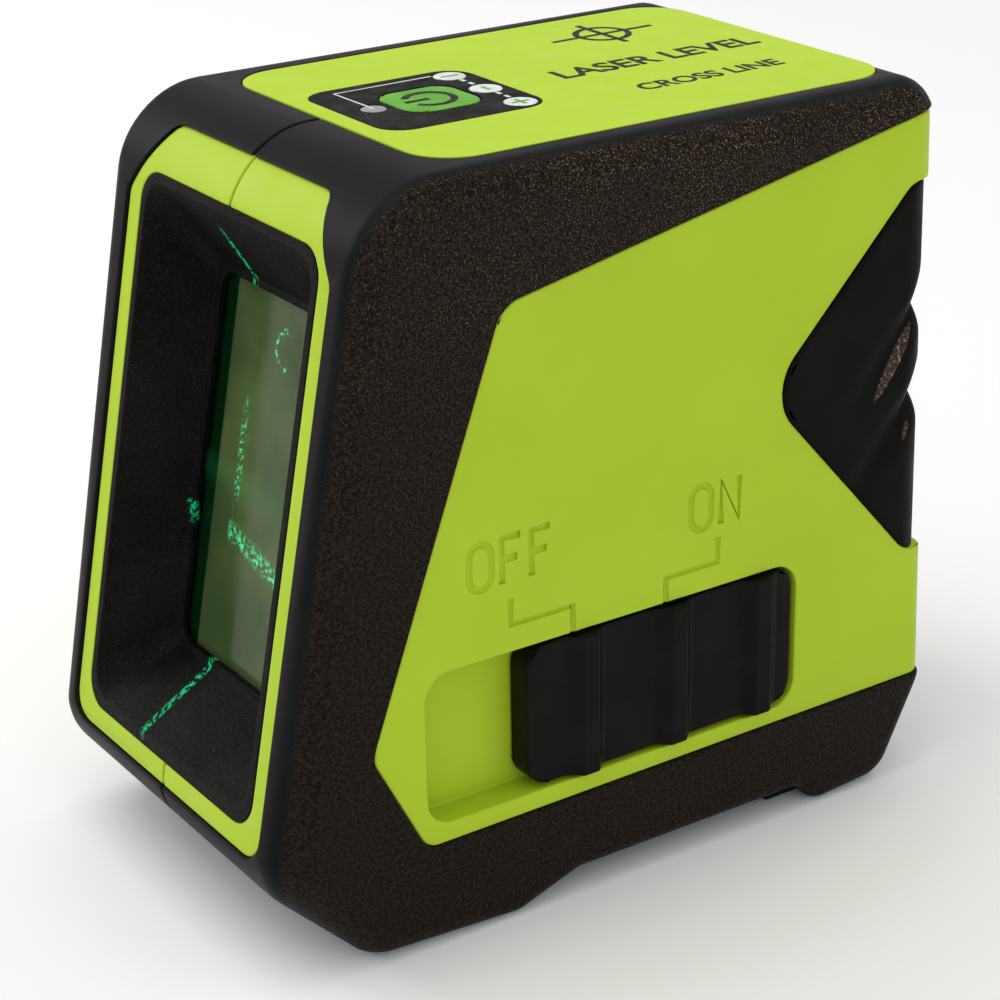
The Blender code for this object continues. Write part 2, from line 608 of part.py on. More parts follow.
def build_pendulum():
    """Hanging body with the two line lasers, a brass weight and the damping magnet at its foot."""
    body = block((-6.5, PIVOT_Y - 4, 44), (6.5, PIVOT_Y + 4, 79))
    join(body, block((-9, PIVOT_Y - 8, 42), (9, PIVOT_Y + 8, 66.5)))
    join(body, block((-4, PIVOT_Y - 4, 22.2), (4, PIVOT_Y + 4, 43)))
    cut(body, rod(PIN_R + GAP, (0, PIVOT_Y - 6, PIVOT_Z), 12, "Y", sides=16))
    for name, z, lens_axis in (("vertical", 60.0, "X"), ("horizontal", 48.8, "Z")):
        front = PIVOT_Y - LASER_LONG / 2
        cut(body, rod(LASER_R + GAP, (0, PIVOT_Y - 10, z), 20, "Y"))
        finished(rod(LASER_R, (0, front, z), LASER_LONG, "Y"), f"{name}_laser", "brass")
        start = [0.0, front - 1.6, z]
        start[0 if lens_axis == "X" else 2] -= 3.0
        finished(rod(1.2, tuple(start), 6.0, lens_axis, sides=16), f"{name}_lens", "glass")
    finished(body, "pendulum_body", "zinc")
    weight = block((-9, PIVOT_Y - 9, 30), (9, PIVOT_Y + 9, 39), bevel=0.6)
    cut(weight, block((-4.3, PIVOT_Y - 4.3, 25), (4.3, PIVOT_Y + 4.3, 45)))
    finished(weight, "balance_weight", "brass")
    finished(rod(6.0, (0, PIVOT_Y, 17.9), 4.0, sides=24), "damping_magnet", "steel")
    finished(block((-9, PIVOT_Y - 9, 12), (9, PIVOT_Y + 9, 14), bevel=0.4), "damping_plate", "copper")


# ---------------------------------------------------------------- electronics and power


def build_boards():
    finished(block((-14, -16.4, 86.9), (14, 5.0, 88.3)), "keypad_board", "board")
    middle = (BUTTON_Y0 + BUTTON_Y1) / 2
    dome = block((-3, middle - 3, 88.6), (3, middle + 3, 90.4))
    join(dome, rod(1.7, (0, middle, 90.0), 1.3, sides=16))
    finished(dome, "tactile_switch", "black_abs")
    finished(block((-22, 23.0, 40), (22, 24.6, 84)), "main_board", "board")


def build_batteries():
    tray = block((-23.0, 27.2, 11.2), (23.0, 43.9, 67.5))
    for i in range(3):
        x = (i - 1) * CELL_PITCH
        cut(tray, rod(CELL_R + 0.25, (x, CELL_Y, 0), 65.0, sides=32))
        cell = rod(CELL_R, (x, CELL_Y, CELL_Z), CELL_TALL - 1.5, sides=24)
        join(cell, rod(2.7, (x, CELL_Y, CELL_Z + CELL_TALL - 2), 2.0, sides=16))
        finished(cell, f"battery_cell_{i + 1}", "cell")
        build_contact_spring(x, f"contact_spring_{i + 1}")
    finished(tray, "battery_tray", "black_abs")
    finished(block((-20, 30, 67.8), (20, 41, 69.2)), "contact_board", "board")


def build_contact_spring(x, name):
    """Conical wire spring under a cell, on the inside of the battery door."""
    turns, steps, sides = 2.5, 12, 6
    wire, low, tall = 0.35, DOOR_Z0 + DOOR_THICK + 1.4, 6.3
    count = int(turns * steps)
    bm = bmesh.new()
    rings = []
    for k in range(count + 1):
        share = k / count
        angle = 2 * math.pi * turns * share
        radius = 5.0 - 2.2 * share
        centre = Vector((x + radius * math.cos(angle), CELL_Y + radius * math.sin(angle), low + tall * share))
        out = Vector((math.cos(angle), math.sin(angle), 0))
        ring = []
        for j in range(sides):
            roll = 2 * math.pi * j / sides
            ring.append(centre + wire * (out * math.cos(roll) + Vector((0, 0, 1)) * math.sin(roll)))
        rings.append(ring)
    add_loft(bm, rings)
    finished(object_from(bm, name), name, "steel")


def build_door():
    """Battery door between the rear feet. Its front edge is rounded about the hinge pin."""
    radius = DOOR_THICK / 2
    plate = block((-DOOR_X, DOOR_PIVOT_Y, DOOR_Z0), (DOOR_X, DOOR_Y1, DOOR_Z0 + DOOR_THICK))
    join(plate, rod(radius, (-DOOR_X, DOOR_PIVOT_Y, DOOR_PIVOT_Z), 2 * DOOR_X, "X", sides=20))
    join(plate, block((-DOOR_X + 1, 31, 3.5), (DOOR_X - 1, 41.0, 5.0)))
    cut(plate, rod(1.0, (-30, DOOR_PIVOT_Y, DOOR_PIVOT_Z), 60, "X", sides=16))
    cut(plate, rod(3.0, (-5, DOOR_Y1 - 1.5, DOOR_Z0 - 2.2), 10, "X", sides=20))
    finished(plate, "battery_door", "black_abs")
    pin = rod(0.7, (-26.3, DOOR_PIVOT_Y, DOOR_PIVOT_Z), 52.6, "X", sides=12)
    finished(pin, "door_pin", "steel")


def build_tripod_insert():
    insert = rod(TRIPOD_R, (0, TRIPOD_Y, RELIEF + 0.2), TRIPOD_TOP - RELIEF - 0.2, sides=24)
    cut(insert, rod(TRIPOD_BORE / 2, (0, TRIPOD_Y, 0), 20.0, sides=24))
    finished(insert, "tripod_insert", "brass")


def build_case_screws():
    """Four screws from the left, heads deep in their counterbores."""
    for i, (y, z) in enumerate(SCREWS):
        screw = rod(1.3, (-24.0, y, z), 32.0, "X", sides=12)
        head = rod(2.7, (-25.6, y, z), 2.0, "X", sides=16)
        cut(head, block((-26.5, y - 1.8, z - 0.3), (-25.0, y + 1.8, z + 0.3)))
        cut(head, block((-26.5, y - 0.3, z - 1.8), (-25.0, y + 0.3, z + 1.8)))
        finished(join(screw, head), f"case_screw_{i + 1}", "steel")


def main():
    for made in list(bpy.data.objects):
        bpy.data.objects.remove(made)
    build_shells()
    build_bumpers()
    build_grips()
    build_window()
    build_label()
    build_knob()
    build_carriage()
    build_lock()
    build_frame()
    build_gimbal()
    build_pendulum()
    build_boards()
    build_batteries()
    build_door()
    build_tripod_insert()
    build_case_screws()


main()
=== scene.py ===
import math
import bmesh
import bpy
from mathutils import Matrix, Vector


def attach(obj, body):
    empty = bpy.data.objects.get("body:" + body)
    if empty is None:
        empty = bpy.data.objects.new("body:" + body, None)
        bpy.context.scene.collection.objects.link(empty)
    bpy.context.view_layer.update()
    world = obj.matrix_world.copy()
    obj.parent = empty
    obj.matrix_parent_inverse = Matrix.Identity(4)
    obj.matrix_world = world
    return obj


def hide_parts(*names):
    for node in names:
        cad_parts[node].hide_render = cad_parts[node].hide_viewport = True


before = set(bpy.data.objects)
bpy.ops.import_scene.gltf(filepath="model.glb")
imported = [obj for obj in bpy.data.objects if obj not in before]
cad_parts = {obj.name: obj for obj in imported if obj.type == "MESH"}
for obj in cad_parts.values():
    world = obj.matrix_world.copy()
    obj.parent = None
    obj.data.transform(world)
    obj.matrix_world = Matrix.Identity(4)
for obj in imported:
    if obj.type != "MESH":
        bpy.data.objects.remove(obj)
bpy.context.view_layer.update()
scene = bpy.context.scene
mm = 0.001  # pieces are shaped in millimetres, then brought to metres


# camera, floor and lights

cameraPlace = dict(
    at=(262.2, -172.3, 175.8),
    right=(0.5588, 0.8291, -0.0179),
    up=(-0.3171, 0.2336, 0.9192),
    lens=94.65,
)


def setCamera():
    data = bpy.data.cameras.new("camera")
    data.lens = cameraPlace["lens"]
    data.clip_start = 0.01
    camera = bpy.data.objects.new("camera", data)
    right = Vector(cameraPlace["right"]).normalized()
    up = Vector(cameraPlace["up"])
    back = right.cross(up).normalized()
    up = back.cross(right)
    turn = Matrix((right, up, back)).transposed().to_4x4()
    camera.matrix_world = Matrix.Translation(Vector(cameraPlace["at"]) * mm) @ turn
    scene.collection.objects.link(camera)
    scene.camera = camera


studio = dict(
    sky=0.76,
    floorTone=(0.97, 0.97, 0.97, 1),
    lights=(  # name, place in metres, size, power, tint
        ("topSoftbox", (-0.1, -0.2, 0.8), 0.6, 1.5, (1, 0.99, 0.97)),
        ("sideSoftbox", (0.75, -0.15, 0.45), 0.6, 0.6, (1, 1, 1)),
        ("frontSoftbox", (-0.75, -0.5, 0.5), 0.5, 2.6, (0.97, 0.99, 1)),
    ),
)


def setStudio():
    bm = bmesh.new()
    bmesh.ops.create_grid(bm, x_segments=1, y_segments=1, size=4)
    mesh = bpy.data.meshes.new("floor")
    bm.to_mesh(mesh)
    bm.free()
    floor = bpy.data.objects.new("floor", mesh)
    scene.collection.objects.link(floor)
    paper = bpy.data.materials.new("floorPaper")
    paper.use_nodes = True
    shader = paper.node_tree.nodes["Principled BSDF"]
    shader.inputs["Base Color"].default_value = studio["floorTone"]
    shader.inputs["Roughness"].default_value = 0.9
    mesh.materials.append(paper)
    for name, place, size, power, tint in studio["lights"]:
        data = bpy.data.lights.new(name, "AREA")
        data.shape = "DISK"
        data.size = size
        data.energy = power
        data.color = tint
        light = bpy.data.objects.new(name, data)
        aim = Vector((0, 0, 0.04)) - Vector(place)
        light.matrix_world = Matrix.Translation(place) @ aim.to_track_quat("-Z", "Y").to_matrix().to_4x4()
        scene.collection.objects.link(light)
    world = bpy.data.worlds.new("studio")
    world.use_nodes = True
    sky = world.node_tree.nodes["Background"]
    sky.inputs["Color"].default_value = (1, 1, 1, 1)
    sky.inputs["Strength"].default_value = studio["sky"]
    scene.world = world
    scene.view_settings.view_transform = "Standard"


# materials: every pattern reads Object coordinates, in metres

finishes = dict(  # dark tone, light tone, mottle per metre, grain per metre, grain depth in mm, roughness
    limePlastic=dict(dark=(0.39, 0.545, 0.02), light=(0.41, 0.57, 0.023), mottle=60, grain=5200,
                     depth=0.012, rough=(0.42, 0.52), shine=0.18),
    limeLabel=dict(dark=(0.45, 0.635, 0.02), light=(0.47, 0.655, 0.024), mottle=90, grain=9000,
                   depth=0.006, rough=(0.42, 0.52), shine=0.12),
    knobPlastic=dict(dark=(0.0035, 0.0036, 0.003), light=(0.006, 0.006, 0.005), mottle=160, grain=6500,
                     depth=0.012, rough=(0.3, 0.42), shine=0.07),
    doorPlastic=dict(dark=(0.006, 0.006, 0.006), light=(0.012, 0.0115, 0.011), mottle=120, grain=4800,
                     depth=0.02, rough=(0.42, 0.56), shine=0.2),
    innerPlastic=dict(dark=(0.012, 0.012, 0.013), light=(0.025, 0.025, 0.025), mottle=150, grain=4000,
                      depth=0.015, rough=(0.45, 0.6)),
    softRubber=dict(dark=(0.015, 0.014, 0.014), light=(0.03, 0.028, 0.027), mottle=200, grain=3500,
                    depth=0.03, rough=(0.6, 0.8)),
    keypadFilm=dict(dark=(0.004, 0.004, 0.004), light=(0.008, 0.008, 0.007), mottle=150, grain=9000,
                    depth=0.004, rough=(0.4, 0.52), shine=0.03),
    labelInk=dict(dark=(0.004, 0.005, 0.003), light=(0.009, 0.01, 0.007), mottle=300, grain=9000,
                  depth=0.004, rough=(0.35, 0.5), shine=0.06),
    whiteInk=dict(dark=(0.62, 0.66, 0.64), light=(0.78, 0.82, 0.8), mottle=400, grain=8000,
                  depth=0.003, rough=(0.35, 0.5)),
    greyInk=dict(dark=(0.26, 0.27, 0.27), light=(0.36, 0.37, 0.37), mottle=400, grain=8000,
                 depth=0.003, rough=(0.3, 0.45)),
    buttonGreen=dict(dark=(0.10, 0.36, 0.02), light=(0.15, 0.44, 0.035), mottle=220, grain=7000,
                     depth=0.006, rough=(0.34, 0.44), shine=0.06),
    brightSteel=dict(dark=(0.42, 0.42, 0.43), light=(0.62, 0.62, 0.63), mottle=500, grain=2600,
                     depth=0.01, rough=(0.22, 0.4), metal=1.0, stretch=(1, 12, 1)),
    turnedBrass=dict(dark=(0.62, 0.42, 0.16), light=(0.8, 0.6, 0.28), mottle=400, grain=2400,
                     depth=0.01, rough=(0.2, 0.38), metal=1.0, stretch=(1, 10, 1)),
    sheetCopper=dict(dark=(0.62, 0.27, 0.14), light=(0.78, 0.4, 0.24), mottle=350, grain=2200,
                     depth=0.01, rough=(0.25, 0.45), metal=1.0, stretch=(10, 1, 1)),
    castZinc=dict(dark=(0.3, 0.3, 0.31), light=(0.46, 0.46, 0.48), mottle=260, grain=3000,
                  depth=0.04, rough=(0.38, 0.58), metal=1.0),
    circuitBoard=dict(dark=(0.008, 0.09, 0.03), light=(0.02, 0.16, 0.06), mottle=700, grain=3500,
                      depth=0.01, rough=(0.3, 0.5)),
    cellSleeve=dict(dark=(0.05, 0.09, 0.2), light=(0.08, 0.13, 0.28), mottle=120, grain=6000,
                    depth=0.004, rough=(0.22, 0.34)),
)


class Nodes:
    # short hand for wiring one material's nodes
    def __init__(self, name):
        self.material = bpy.data.materials.new(name)
        self.material.use_nodes = True
        self.tree = self.material.node_tree
        self.shader = self.tree.nodes["Principled BSDF"]
        self.place = self.add("ShaderNodeTexCoord").outputs["Object"]

    def add(self, kind, inputs=None, **settings):
        node = self.tree.nodes.new(kind)
        for key, value in settings.items():
            setattr(node, key, value)
        for key, value in (inputs or {}).items():
            if isinstance(value, bpy.types.NodeSocket):
                self.tree.links.new(value, node.inputs[key])
            else:
                node.inputs[key].default_value = value
        return node

    def noise(self, scale, detail=3.0, place=None):
        inputs = {"Vector": place or self.place, "Scale": scale, "Detail": detail}
        return self.add("ShaderNodeTexNoise", inputs).outputs["Fac"]

    def ramp(self, value, low, high, start=0.0, end=1.0):
        inputs = {"Value": value, "From Min": low, "From Max": high, "To Min": start, "To Max": end}
        return self.add("ShaderNodeMapRange", inputs, interpolation_type="SMOOTHSTEP").outputs["Result"]

    def maths(self, operation, first, second=0.0):
        return self.add("ShaderNodeMath", {0: first, 1: second}, operation=operation).outputs[0]

    def tones(self, share, dark, light):
        mix = self.add("ShaderNodeMix", {"Factor": share}, data_type="RGBA")
        for index, tone in ((6, dark), (7, light)):
            if isinstance(tone, bpy.types.NodeSocket):
                self.tree.links.new(tone, mix.inputs[index])
            else:
                mix.inputs[index].default_value = (*tone, 1)
        return mix.outputs[2]

    def axes(self):
        split = self.add("ShaderNodeSeparateXYZ", {"Vector": self.place})
        return split.outputs[0], split.outputs[1], split.outputs[2]

    def band(self, value, low, high, soft):
        # 1 between low and high, fading over soft on both sides; millimetres in, metres on the socket
        rise = self.ramp(value, (low - soft) * mm, (low + soft) * mm)
        fall = self.ramp(value, (high - soft) * mm, (high + soft) * mm, 1.0, 0.0)
        return self.maths("MULTIPLY", rise, fall)

    def every(self, *masks):
        result = masks[0]
        for mask in masks[1:]:
            result = self.maths("MULTIPLY", result, mask)
        return result

    def bump(self, height, depth, under=None):
        inputs = {"Height": height, "Distance": depth * mm, "Strength": 1.0}
        if under:
            inputs["Normal"] = under
        return self.add("ShaderNodeBump", inputs).outputs["Normal"]

    def connect(self, socket, key):
        self.tree.links.new(socket, self.shader.inputs[key])


def plainFinish(name):
    # moulded, printed or metal surface: two tones mottled together, with its grain and uneven gloss
    look = finishes[name]
    nodes = Nodes(name)
    place = nodes.place
    if "stretch" in look:
        place = nodes.add("ShaderNodeMapping", {"Vector": place, "Scale": look["stretch"]}).outputs[0]
    mottle = nodes.noise(look["mottle"], 4.0)
    grain = nodes.noise(look["grain"], 2.0, place)
    nodes.connect(nodes.tones(nodes.ramp(mottle, 0.35, 0.65), look["dark"], look["light"]), "Base Color")
    nodes.connect(nodes.ramp(nodes.noise(look["mottle"] * 3), 0.3, 0.7, *look["rough"]), "Roughness")
    nodes.connect(nodes.bump(grain, look["depth"]), "Normal")
    nodes.shader.inputs["Metallic"].default_value = look.get("metal", 0.0)
    nodes.shader.inputs["Specular IOR Level"].default_value = look.get("shine", 0.4)
    return nodes.material


bumperLook = dict(
    sideStart=27.6, sideFull=28.7,  # the coarse grain lies on the flat sides only
    # the brownish fleck tone carries a painted sheen as well as the grain
    sideDark=(0.004, 0.003, 0.0021), sideLight=(0.021, 0.0135, 0.0085), sheenFleck=(0.24, 0.17, 0.11),
    edgeDark=(0.0028, 0.003, 0.003), edgeLight=(0.0052, 0.0056, 0.0054), shine=0.07,
    grain=2300, fine=4400, grainDepth=0.14, edgeDepth=0.012,
    sheenHeight=(35.0, 85.0), sheenBack=(-45.0, 15.0),  # painted sheen: the grain flecks show brighter towards the top and the back
    sideRough=(0.4, 0.62), edgeRough=(0.4, 0.5),
)


def bumperRubber():
    look = bumperLook
    nodes = Nodes("bumperRubber")
    x, y, z = nodes.axes()
    wide = nodes.maths("ABSOLUTE", x)
    side = nodes.ramp(wide, look["sideStart"] * mm, look["sideFull"] * mm)
    coarse = nodes.noise(look["grain"], 4.0)
    fine = nodes.noise(look["fine"], 2.0)
    mottleAndSheen = nodes.noise(55, 3.0)
    sideTone = nodes.tones(nodes.ramp(coarse, 0.38, 0.66), look["sideDark"], look["sideLight"])
    (low, high), (front, rear) = look["sheenHeight"], look["sheenBack"]
    # painted sheen: the flecks grow stronger with height and towards the back
    rise = nodes.ramp(z, low * mm, high * mm, 0.12, 1.0)
    behind = nodes.ramp(y, front * mm, rear * mm, 0.3, 1.0)
    sheenFleck = nodes.every(nodes.ramp(fine, 0.58, 0.68), nodes.ramp(mottleAndSheen, 0.3, 0.7, 0.5, 1.0), rise, behind)
    sideTone = nodes.tones(sheenFleck, sideTone, look["sheenFleck"])
    edgeTone = nodes.tones(nodes.ramp(mottleAndSheen, 0.35, 0.65), look["edgeDark"], look["edgeLight"])
    nodes.connect(nodes.tones(side, edgeTone, sideTone), "Base Color")
    sideRough = nodes.ramp(fine, 0.35, 0.7, look["sideRough"][1], look["sideRough"][0])
    edgeRough = nodes.ramp(mottleAndSheen, 0.3, 0.7, *look["edgeRough"])
    blend = nodes.add("ShaderNodeMix", {"Factor": side, 2: edgeRough, 3: sideRough}, data_type="FLOAT")
    nodes.connect(blend.outputs[0], "Roughness")
    height = nodes.maths("MULTIPLY", nodes.maths("ADD", coarse, nodes.maths("MULTIPLY", fine, 0.4)), side)
    smooth = nodes.bump(fine, look["edgeDepth"])
    nodes.connect(nodes.bump(height, look["grainDepth"], smooth), "Normal")
    nodes.shader.inputs["Specular IOR Level"].default_value = look["shine"]
    return nodes.material


gripLook = dict(
    dark=(0.0028, 0.0028, 0.0022), light=(0.0055, 0.0052, 0.0042), shine=0.05,
    # the first two tones below are the painted sheen on the lobes' patches
    mottleAndSheen=(0.05, 0.036, 0.026), sheenFleck=(0.3, 0.21, 0.14), rough=(0.45, 0.6),
    grain=2700, grainDepth=0.03, edge=0.25,
    # lighter grainy patches on the lobes, a painted sheen: middle Y, Z, half length, half width, slope of their
    # length
    sheenPatches=((41.9, 60.0, 5.3, 0.75, 54.4), (44.5, 50.3, 1.3, 0.35, 66.0)),
)


def gripRubber():
    look = gripLook
    nodes = Nodes("gripRubber")
    x, y, z = nodes.axes()
    mottle = nodes.noise(130, 4.0)
    grain = nodes.noise(look["grain"], 2.0)
    base = nodes.tones(nodes.ramp(mottle, 0.35, 0.65), look["dark"], look["light"])
    # painted sheen: a lighter grainy tone on lens-shaped patches of the lobes' sides
    mottleAndSheen = nodes.tones(nodes.ramp(grain, 0.56, 0.68), look["mottleAndSheen"], look["sheenFleck"])
    sheenPatches = None
    for middleY, middleZ, length, width, slope in look["sheenPatches"]:
        turn = math.radians(slope)
        alongY = nodes.maths("SUBTRACT", y, middleY * mm)
        alongZ = nodes.maths("SUBTRACT", z, middleZ * mm)
        sums = []
        for partY, partZ, reach in (
            (math.cos(turn), math.sin(turn), length), (-math.sin(turn), math.cos(turn), width),
        ):
            first = nodes.maths("MULTIPLY", alongY, partY / (reach * mm))
            second = nodes.maths("MULTIPLY", alongZ, partZ / (reach * mm))
            sums.append(nodes.maths("POWER", nodes.maths("ABSOLUTE", nodes.maths("ADD", first, second)), 2.0))
        lens = nodes.ramp(nodes.maths("ADD", *sums), 1.0 + look["edge"], 1.0 - look["edge"])
        sheenPatches = lens if sheenPatches is None else nodes.maths("MAXIMUM", sheenPatches, lens)
    wide = nodes.ramp(nodes.maths("ABSOLUTE", x), 22 * mm, 25 * mm)
    sheenMask = nodes.every(sheenPatches, wide, nodes.ramp(grain, 0.3, 0.5, 0.3, 1.0))
    nodes.connect(nodes.tones(sheenMask, base, mottleAndSheen), "Base Color")
    nodes.connect(nodes.ramp(mottle, 0.3, 0.7, *look["rough"]), "Roughness")
    nodes.connect(nodes.bump(grain, look["grainDepth"]), "Normal")
    nodes.shader.inputs["Specular IOR Level"].default_value = look["shine"]
    return nodes.material


funnelLook = dict(
    dark=(0.003, 0.003, 0.0026), light=(0.007, 0.0068, 0.006), dust=(0.05, 0.047, 0.036), shine=0.05,
    grain=2600, grainDepth=0.06, rough=(0.42, 0.62),
    fan=(-6.7, -5.7),  # painted laser light: where the vertical fan crosses the funnel's floor and ceiling
    ceiling=(74.5, 82.5), floor=(19.9, 27.5),
    sideLine=(42.4, 45.2), sideReach=(-35.5, -34.8), wallX=-14.0,
    glow=(0.0, 0.62, 0.2, 1), glowPower=0.8,
)


def funnelPlastic():
    # black textured funnel, a little dusty, with the laser fan's lines painted on its walls as glowing laser light
    look = funnelLook
    nodes = Nodes("funnelPlastic")
    x, y, z = nodes.axes()
    grain = nodes.noise(look["grain"], 3.0)
    speck = nodes.noise(look["grain"] * 2.2, 1.0)
    base = nodes.tones(nodes.ramp(nodes.noise(90), 0.3, 0.7), look["dark"], look["light"])
    nodes.connect(nodes.tones(nodes.ramp(speck, 0.66, 0.74), base, look["dust"]), "Base Color")
    nodes.connect(nodes.ramp(grain, 0.3, 0.7, *look["rough"]), "Roughness")
    nodes.connect(nodes.bump(grain, look["grainDepth"]), "Normal")
    # painted laser light: speckled green emission where the fan meets the floor, the ceiling and the left wall
    speckled = nodes.ramp(nodes.noise(1700, 2.0), 0.42, 0.6)
    middle = nodes.band(x, *look["fan"], 0.25)
    reach = nodes.maths("ADD", nodes.band(z, *look["ceiling"], 1.5), nodes.band(z, *look["floor"], 1.0))
    wall = nodes.ramp(x, look["wallX"] * mm, (look["wallX"] - 1) * mm)
    short = nodes.every(nodes.band(z, *look["sideLine"], 0.4), nodes.band(y, *look["sideReach"], 0.3), wall)
    glow = nodes.every(nodes.maths("ADD", nodes.maths("MULTIPLY", middle, reach), short), speckled)
    nodes.connect(nodes.maths("MULTIPLY", glow, look["glowPower"]), "Emission Strength")
    nodes.shader.inputs["Emission Color"].default_value = look["glow"]
    nodes.shader.inputs["Specular IOR Level"].default_value = look["shine"]
    return nodes.material


paneLook = dict(
    clear=(0.12, 0.175, 0.06), haze=(0.055, 0.095, 0.03), border=(0.003, 0.02, 0.006), through=0.3, rough=0.08,
    shine=0.15, clearHalf=12.2,  # past this the pane lies over its dark gasket
    # painted laser light: a soft teal band and green glints that glow as emission
    teal=(0.012, 0.30, 0.10), tealHeight=(49.2, 50.6), tealPower=0.13,
    glow=(0.03, 0.8, 0.33), glowPower=0.85,
    fanX=(-7.6, -6.4), fanHeight=(47.0, 60.0), bandHeight=(41.0, 43.2), bandStart=-8.4, bandFall=0.2,
    arcAt=(0.6, 68.6), arcSize=(2.3, 0.3), arcEnd=(0.0, 1.2),
)


def paneGlass():
    # hazy grey-green glass; the beam's scatter is painted into it as glowing light: a soft band, a dotted line, a
    # bar and an arc
    look = paneLook
    nodes = Nodes("paneGlass")
    x, y, z = nodes.axes()
    haze = nodes.noise(70, 3.0)
    inside = nodes.band(x, -look["clearHalf"], look["clearHalf"], 0.25)
    seen = nodes.tones(nodes.ramp(haze, 0.3, 0.7), look["haze"], look["clear"])
    nodes.connect(nodes.tones(inside, look["border"], seen), "Base Color")
    nodes.connect(nodes.ramp(haze, 0.3, 0.7, look["rough"], look["rough"] + 0.08), "Roughness")
    dots = nodes.ramp(nodes.noise(1900, 2.0), 0.5, 0.62)
    soft = nodes.maths("MULTIPLY", nodes.band(z, *look["tealHeight"], 2.2), look["tealPower"])
    fan = nodes.every(nodes.band(x, *look["fanX"], 0.5), nodes.band(z, *look["fanHeight"], 3.0), dots)
    slant = nodes.maths("ADD", z, nodes.maths("MULTIPLY", x, look["bandFall"]))
    start = nodes.ramp(x, look["bandStart"] * mm, (look["bandStart"] + 1) * mm)
    grains = nodes.ramp(nodes.noise(1500), 0.42, 0.62)
    bar = nodes.every(nodes.band(slant, *look["bandHeight"], 0.7), grains, start)
    across = nodes.maths("SUBTRACT", x, look["arcAt"][0] * mm)
    upward = nodes.maths("SUBTRACT", z, look["arcAt"][1] * mm)
    away = nodes.maths("SQRT", nodes.maths("ADD", nodes.maths("MULTIPLY", across, across),
                                           nodes.maths("MULTIPLY", upward, upward)))
    size, wide = look["arcSize"]
    turned = nodes.ramp(across, look["arcEnd"][1] * mm, look["arcEnd"][0] * mm)
    arc = nodes.every(nodes.band(away, size - wide, size + wide, 0.25), turned, dots)
    laserGlints = nodes.maths("ADD", nodes.maths("ADD", fan, bar), arc)
    strength = nodes.maths("ADD", soft, nodes.maths("MULTIPLY", laserGlints, look["glowPower"]))
    nodes.connect(nodes.tones(laserGlints, look["teal"], look["glow"]), "Emission Color")
    nodes.connect(strength, "Emission Strength")
    nodes.shader.inputs["Transmission Weight"].default_value = look["through"]
    nodes.shader.inputs["IOR"].default_value = 1.3
    nodes.shader.inputs["Specular IOR Level"].default_value = look["shine"]
    return nodes.material


def lensGlass():
    nodes = Nodes("lensGlass")
    nodes.connect(nodes.tones(nodes.noise(900), (0.7, 0.9, 0.8), (0.9, 1.0, 0.95)), "Base Color")
    nodes.connect(nodes.ramp(nodes.noise(600), 0.3, 0.7, 0.02, 0.08), "Roughness")
    nodes.shader.inputs["Transmission Weight"].default_value = 0.8
    nodes.shader.inputs["Emission Color"].default_value = (0.1, 0.9, 0.45, 1)
    nodes.shader.inputs["Emission Strength"].default_value = 0.9
    return nodes.material


# shaping, in millimetres

axisTurn = dict(  # an outline's own X, Y and its depth, laid along the case's axes
    X=Matrix(((0, 0, 1, 0), (1, 0, 0, 0), (0, 1, 0, 0), (0, 0, 0, 1))),
    Y=Matrix(((1, 0, 0, 0), (0, 0, 1, 0), (0, 1, 0, 0), (0, 0, 0, 1))),
    Z=Matrix.Identity(4),
)


def vertsOf(made):
    return [e for e in made["geom"] if isinstance(e, bmesh.types.BMVert)]


def pieceFrom(bm, name):
    bmesh.ops.remove_doubles(bm, verts=bm.verts, dist=0.0005)
    bmesh.ops.recalc_face_normals(bm, faces=bm.faces)
    mesh = bpy.data.meshes.new(name)
    bm.to_mesh(mesh)
    bm.free()
    piece = bpy.data.objects.new(name, mesh)
    scene.collection.objects.link(piece)
    return piece


def outwards(face):
    # direction out of a flat outline at each of its points
    result = {}
    for loop in face.loops:
        before = (loop.vert.co - loop.link_loop_prev.vert.co).normalized()
        after = (loop.link_loop_next.vert.co - loop.vert.co).normalized()
        along = (before + after).normalized()
        result[loop.vert] = Vector((along.y, -along.x, 0))
    return result


def outlineFace(bm, corners, grow=0.0, arcStep=9.0):
    # flat face whose corners are rounded, each to the radius that stands third
    face = bm.faces.new([bm.verts.new((corner[0], corner[1], 0)) for corner in corners])
    turns = [math.pi - loop.calc_angle() for loop in face.loops]
    tips = [loop.vert for loop in face.loops]
    for tip, turn, corner in zip(tips, turns, corners):
        if corner[2]:
            bmesh.ops.bevel(
                bm, geom=[tip], offset=corner[2] * math.tan(turn / 2), affect="VERTICES",
                segments=max(2, round(math.degrees(turn) / arcStep)), profile=0.5, material=-1,
            )
    face = bm.faces[:][0]
    if face.normal.z < 0:
        face.normal_flip()
    for vert, direction in outwards(face).items():
        vert.co += direction * grow
    return face


def prism(name, corners, axis, low, high, grow=0.0, arcStep=9.0):
    bm = bmesh.new()
    face = outlineFace(bm, corners, grow, arcStep)
    made = bmesh.ops.extrude_face_region(bm, geom=[face])
    bmesh.ops.translate(bm, verts=vertsOf(made), vec=(0, 0, high - low))
    bmesh.ops.translate(bm, verts=bm.verts, vec=(0, 0, low))
    bmesh.ops.transform(bm, matrix=axisTurn[axis], verts=bm.verts)
    return pieceFrom(bm, name)


def slab(u0, u1, v0, v1, radius):
    return (u0, v0, radius), (u1, v0, radius), (u1, v1, radius), (u0, v1, radius)


